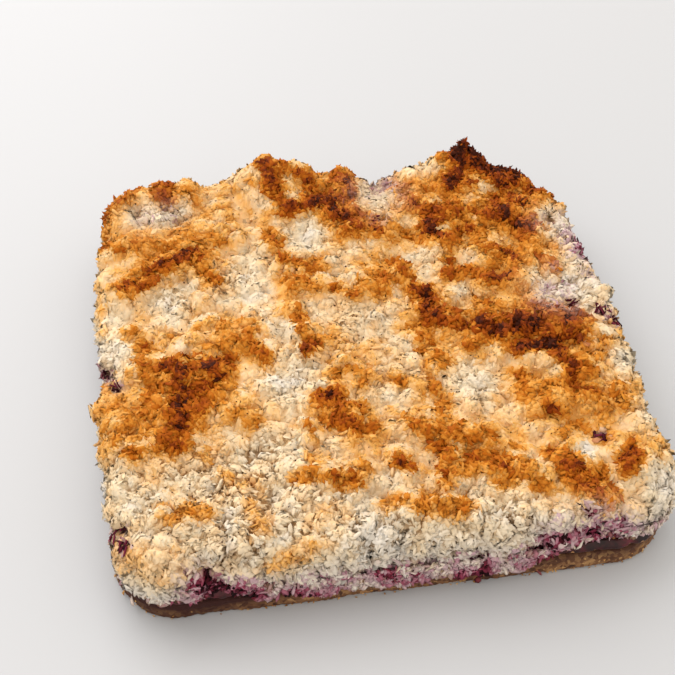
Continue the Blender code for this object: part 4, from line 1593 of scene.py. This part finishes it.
def raspberry_jam():
    """Jam: noise of 6 mm makes it thick or thin, seeds of 1.3 mm are scattered, and the pulp is a bump."""
    material, tree, shader = new_material("set_raspberry_jam", Roughness=0.38, IOR=1.4, Coat_Weight=0.12,
                                          Coat_Roughness=0.15, Specular_IOR_Level=0.3)
    place = add_node(tree, "ShaderNodeTexCoord").outputs["Object"]
    pulp = add_node(tree, "ShaderNodeTexNoise", Vector=place, Scale=1 / (6 * MM), Detail=4.0)
    colour = add_node(tree, "ShaderNodeValToRGB", Fac=pulp.outputs["Fac"])
    set_stops(colour, JAM_STOPS)
    seeds = add_node(tree, "ShaderNodeTexVoronoi", Vector=place, Scale=1 / (4.5 * MM))
    seed_mask = add_node(tree, "ShaderNodeMapRange", Value=seeds.outputs["Distance"], From_Min=0.12,
                         From_Max=0.17, To_Min=1.0, To_Max=0.0)
    seeded = add_node(tree, "ShaderNodeMix", {"data_type": "RGBA"}, i0=seed_mask.outputs["Result"],
                      i6=colour.outputs["Color"], i7=linear(SEED_COLOUR))
    fine = add_node(tree, "ShaderNodeTexNoise", Vector=place, Scale=1 / (1.6 * MM), Detail=3.0)
    bump = add_node(tree, "ShaderNodeBump", Height=fine.outputs["Fac"], Strength=0.5, Distance=0.5 * MM)
    tree.links.new(seeded.outputs[2], shader.inputs["Base Color"])
    tree.links.new(bump.outputs["Normal"], shader.inputs["Normal"])
    return material


jam.data.materials.append(raspberry_jam())

# %% [markdown]
# The base is baked biscuit crumb bound with butter: brown, a little oily, and grainy, with paler golden
# crumbs and a few dark ones. It is soaked darker where the jam's juice went in, at the top and at the front
# left.

# %% Baked biscuit
BISCUIT_STOPS = ((0.2, "#3E2416"), (0.42, "#613E27"), (0.6, "#805A3A"), (0.8, "#AC8455"))
GOLDEN_STOPS = ((0.2, "#8A5A30"), (0.5, "#B98548"), (0.8, "#D9AE70"))
SOAKED_COLOUR = "#34150F"


def biscuit(name, stops):
    """Biscuit: a colour for each grain of 1.5 mm, half of it from patches of 9 mm, darkened by the juice."""
    material, tree, shader = new_material(name, Roughness=0.78, IOR=1.45, Specular_IOR_Level=0.3)
    place = add_node(tree, "ShaderNodeTexCoord").outputs["Object"]
    grains = add_node(tree, "ShaderNodeTexVoronoi", Vector=place, Scale=1 / (1.5 * MM))
    patches = add_node(tree, "ShaderNodeTexNoise", Vector=place, Scale=1 / (9 * MM), Detail=3.0)
    tone = add_node(tree, "ShaderNodeSeparateColor", Color=grains.outputs["Color"])
    blend = add_node(tree, "ShaderNodeMix", {"data_type": "FLOAT"}, i0=0.5, i2=tone.outputs["Red"],
                     i3=patches.outputs["Fac"])
    colour = add_node(tree, "ShaderNodeValToRGB", Fac=blend.outputs[0])
    set_stops(colour, stops)
    soak = add_node(tree, "ShaderNodeAttribute", {"attribute_name": "soak"})
    final = add_node(tree, "ShaderNodeMix", {"data_type": "RGBA"}, i0=soak.outputs["Fac"],
                     i6=colour.outputs["Color"], i7=linear(SOAKED_COLOUR))
    fine = add_node(tree, "ShaderNodeTexNoise", Vector=place, Scale=1 / (0.8 * MM), Detail=3.0)
    bump = add_node(tree, "ShaderNodeBump", Height=fine.outputs["Fac"], Strength=0.7, Distance=0.4 * MM)
    tree.links.new(final.outputs[2], shader.inputs["Base Color"])
    tree.links.new(bump.outputs["Normal"], shader.inputs["Normal"])
    return material


base.data.materials.append(biscuit("baked_biscuit", BISCUIT_STOPS))
crumbs.data.materials.append(biscuit("golden_biscuit_crumbs", GOLDEN_STOPS))

# %% [markdown]
# ## The studio
# A plain pale floor, one broad soft light from the back left and a bright surround. The camera looks down
# by 46 degrees, a little from the left, as in the photograph.

# %% Camera
CAMERA_TARGET = np.array((-7.0, 11.1, 16.0)) * MM
LENS = 63.1
SENSOR = 36


def add_camera():
    """A camera at CAMERA_AT that looks at CAMERA_TARGET, both from the tin's middle; lens in millimetres."""
    camera = bpy.data.objects.new("camera", bpy.data.cameras.new("camera"))
    camera.data.lens = LENS
    camera.data.sensor_width = SENSOR
    camera.data.clip_start = 0.01
    camera.location = Vector(CAMERA_AT + TIN_MIDDLE)
    camera.rotation_euler = Vector(CAMERA_TARGET - CAMERA_AT).to_track_quat("-Z", "Y").to_euler()
    bpy.context.scene.collection.objects.link(camera)
    bpy.context.scene.camera = camera


add_camera()
print("the camera looks at", (CAMERA_TARGET / MM).round(1), "mm through a lens of", LENS, "mm")

# %% Floor and lights
FLOOR_HALF = 3.0
LIGHT_PLACE = (-0.6, 0.95, 1.05)
LIGHT_SIZE = 1.8
LIGHT_POWER = 18.9
SURROUND_STRENGTH = 1.27


def add_floor():
    """A pale, slightly satin floor."""
    points = np.array([(-1, -1, 0), (1, -1, 0), (1, 1, 0), (-1, 1, 0)]) * FLOOR_HALF
    floor = new_piece("floor", points, [np.array([(0, 1, 2, 3)])])
    material, _, _ = new_material("pale_floor", Base_Color=linear("#B7B8BB"), Roughness=0.5)
    floor.data.materials.append(material)


def add_light(name, place, target, size, power, colour):
    """A square area light at a place that shines at a target: sizes in metres, power in watts."""
    light = bpy.data.lights.new(name, "AREA")
    light.size = size
    light.energy = power
    light.color = linear(colour)[:3]
    holder = bpy.data.objects.new(name, light)
    holder.location = place
    holder.rotation_euler = (Vector(target) - Vector(place)).to_track_quat("-Z", "Y").to_euler()
    bpy.context.scene.collection.objects.link(holder)


def add_surround(strength):
    """A plain bright surround."""
    world = bpy.data.worlds.new("surround")
    world.use_nodes = True
    background = world.node_tree.nodes["Background"]
    background.inputs["Color"].default_value = linear("#FFFAF2")
    background.inputs["Strength"].default_value = strength
    bpy.context.scene.world = world


add_floor()
add_light("soft_light", LIGHT_PLACE, (0, 0, 0), LIGHT_SIZE, LIGHT_POWER, "#FCFCFF")
add_surround(SURROUND_STRENGTH)
bpy.context.scene.view_settings.view_transform = "Standard"

# %% [markdown]
# ## Hand over
# Every piece rides on the one body and stands for its node of the frame, which is hidden. Each node's slot
# is printed with its number of pieces.

# %% Bodies and slots
REPLACED = {
    "coconut_crust": ("coconut", [core, *flakes]),
    "raspberry_jam": ("jam", [jam]),
    "biscuit_base": ("biscuit", [base, crumbs]),
}
for node, (slot, pieces) in REPLACED.items():
    for piece in pieces:
        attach(piece, "root")
        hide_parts(node)
    print(f"{node}: {len(pieces)} pieces, slot {slot}")
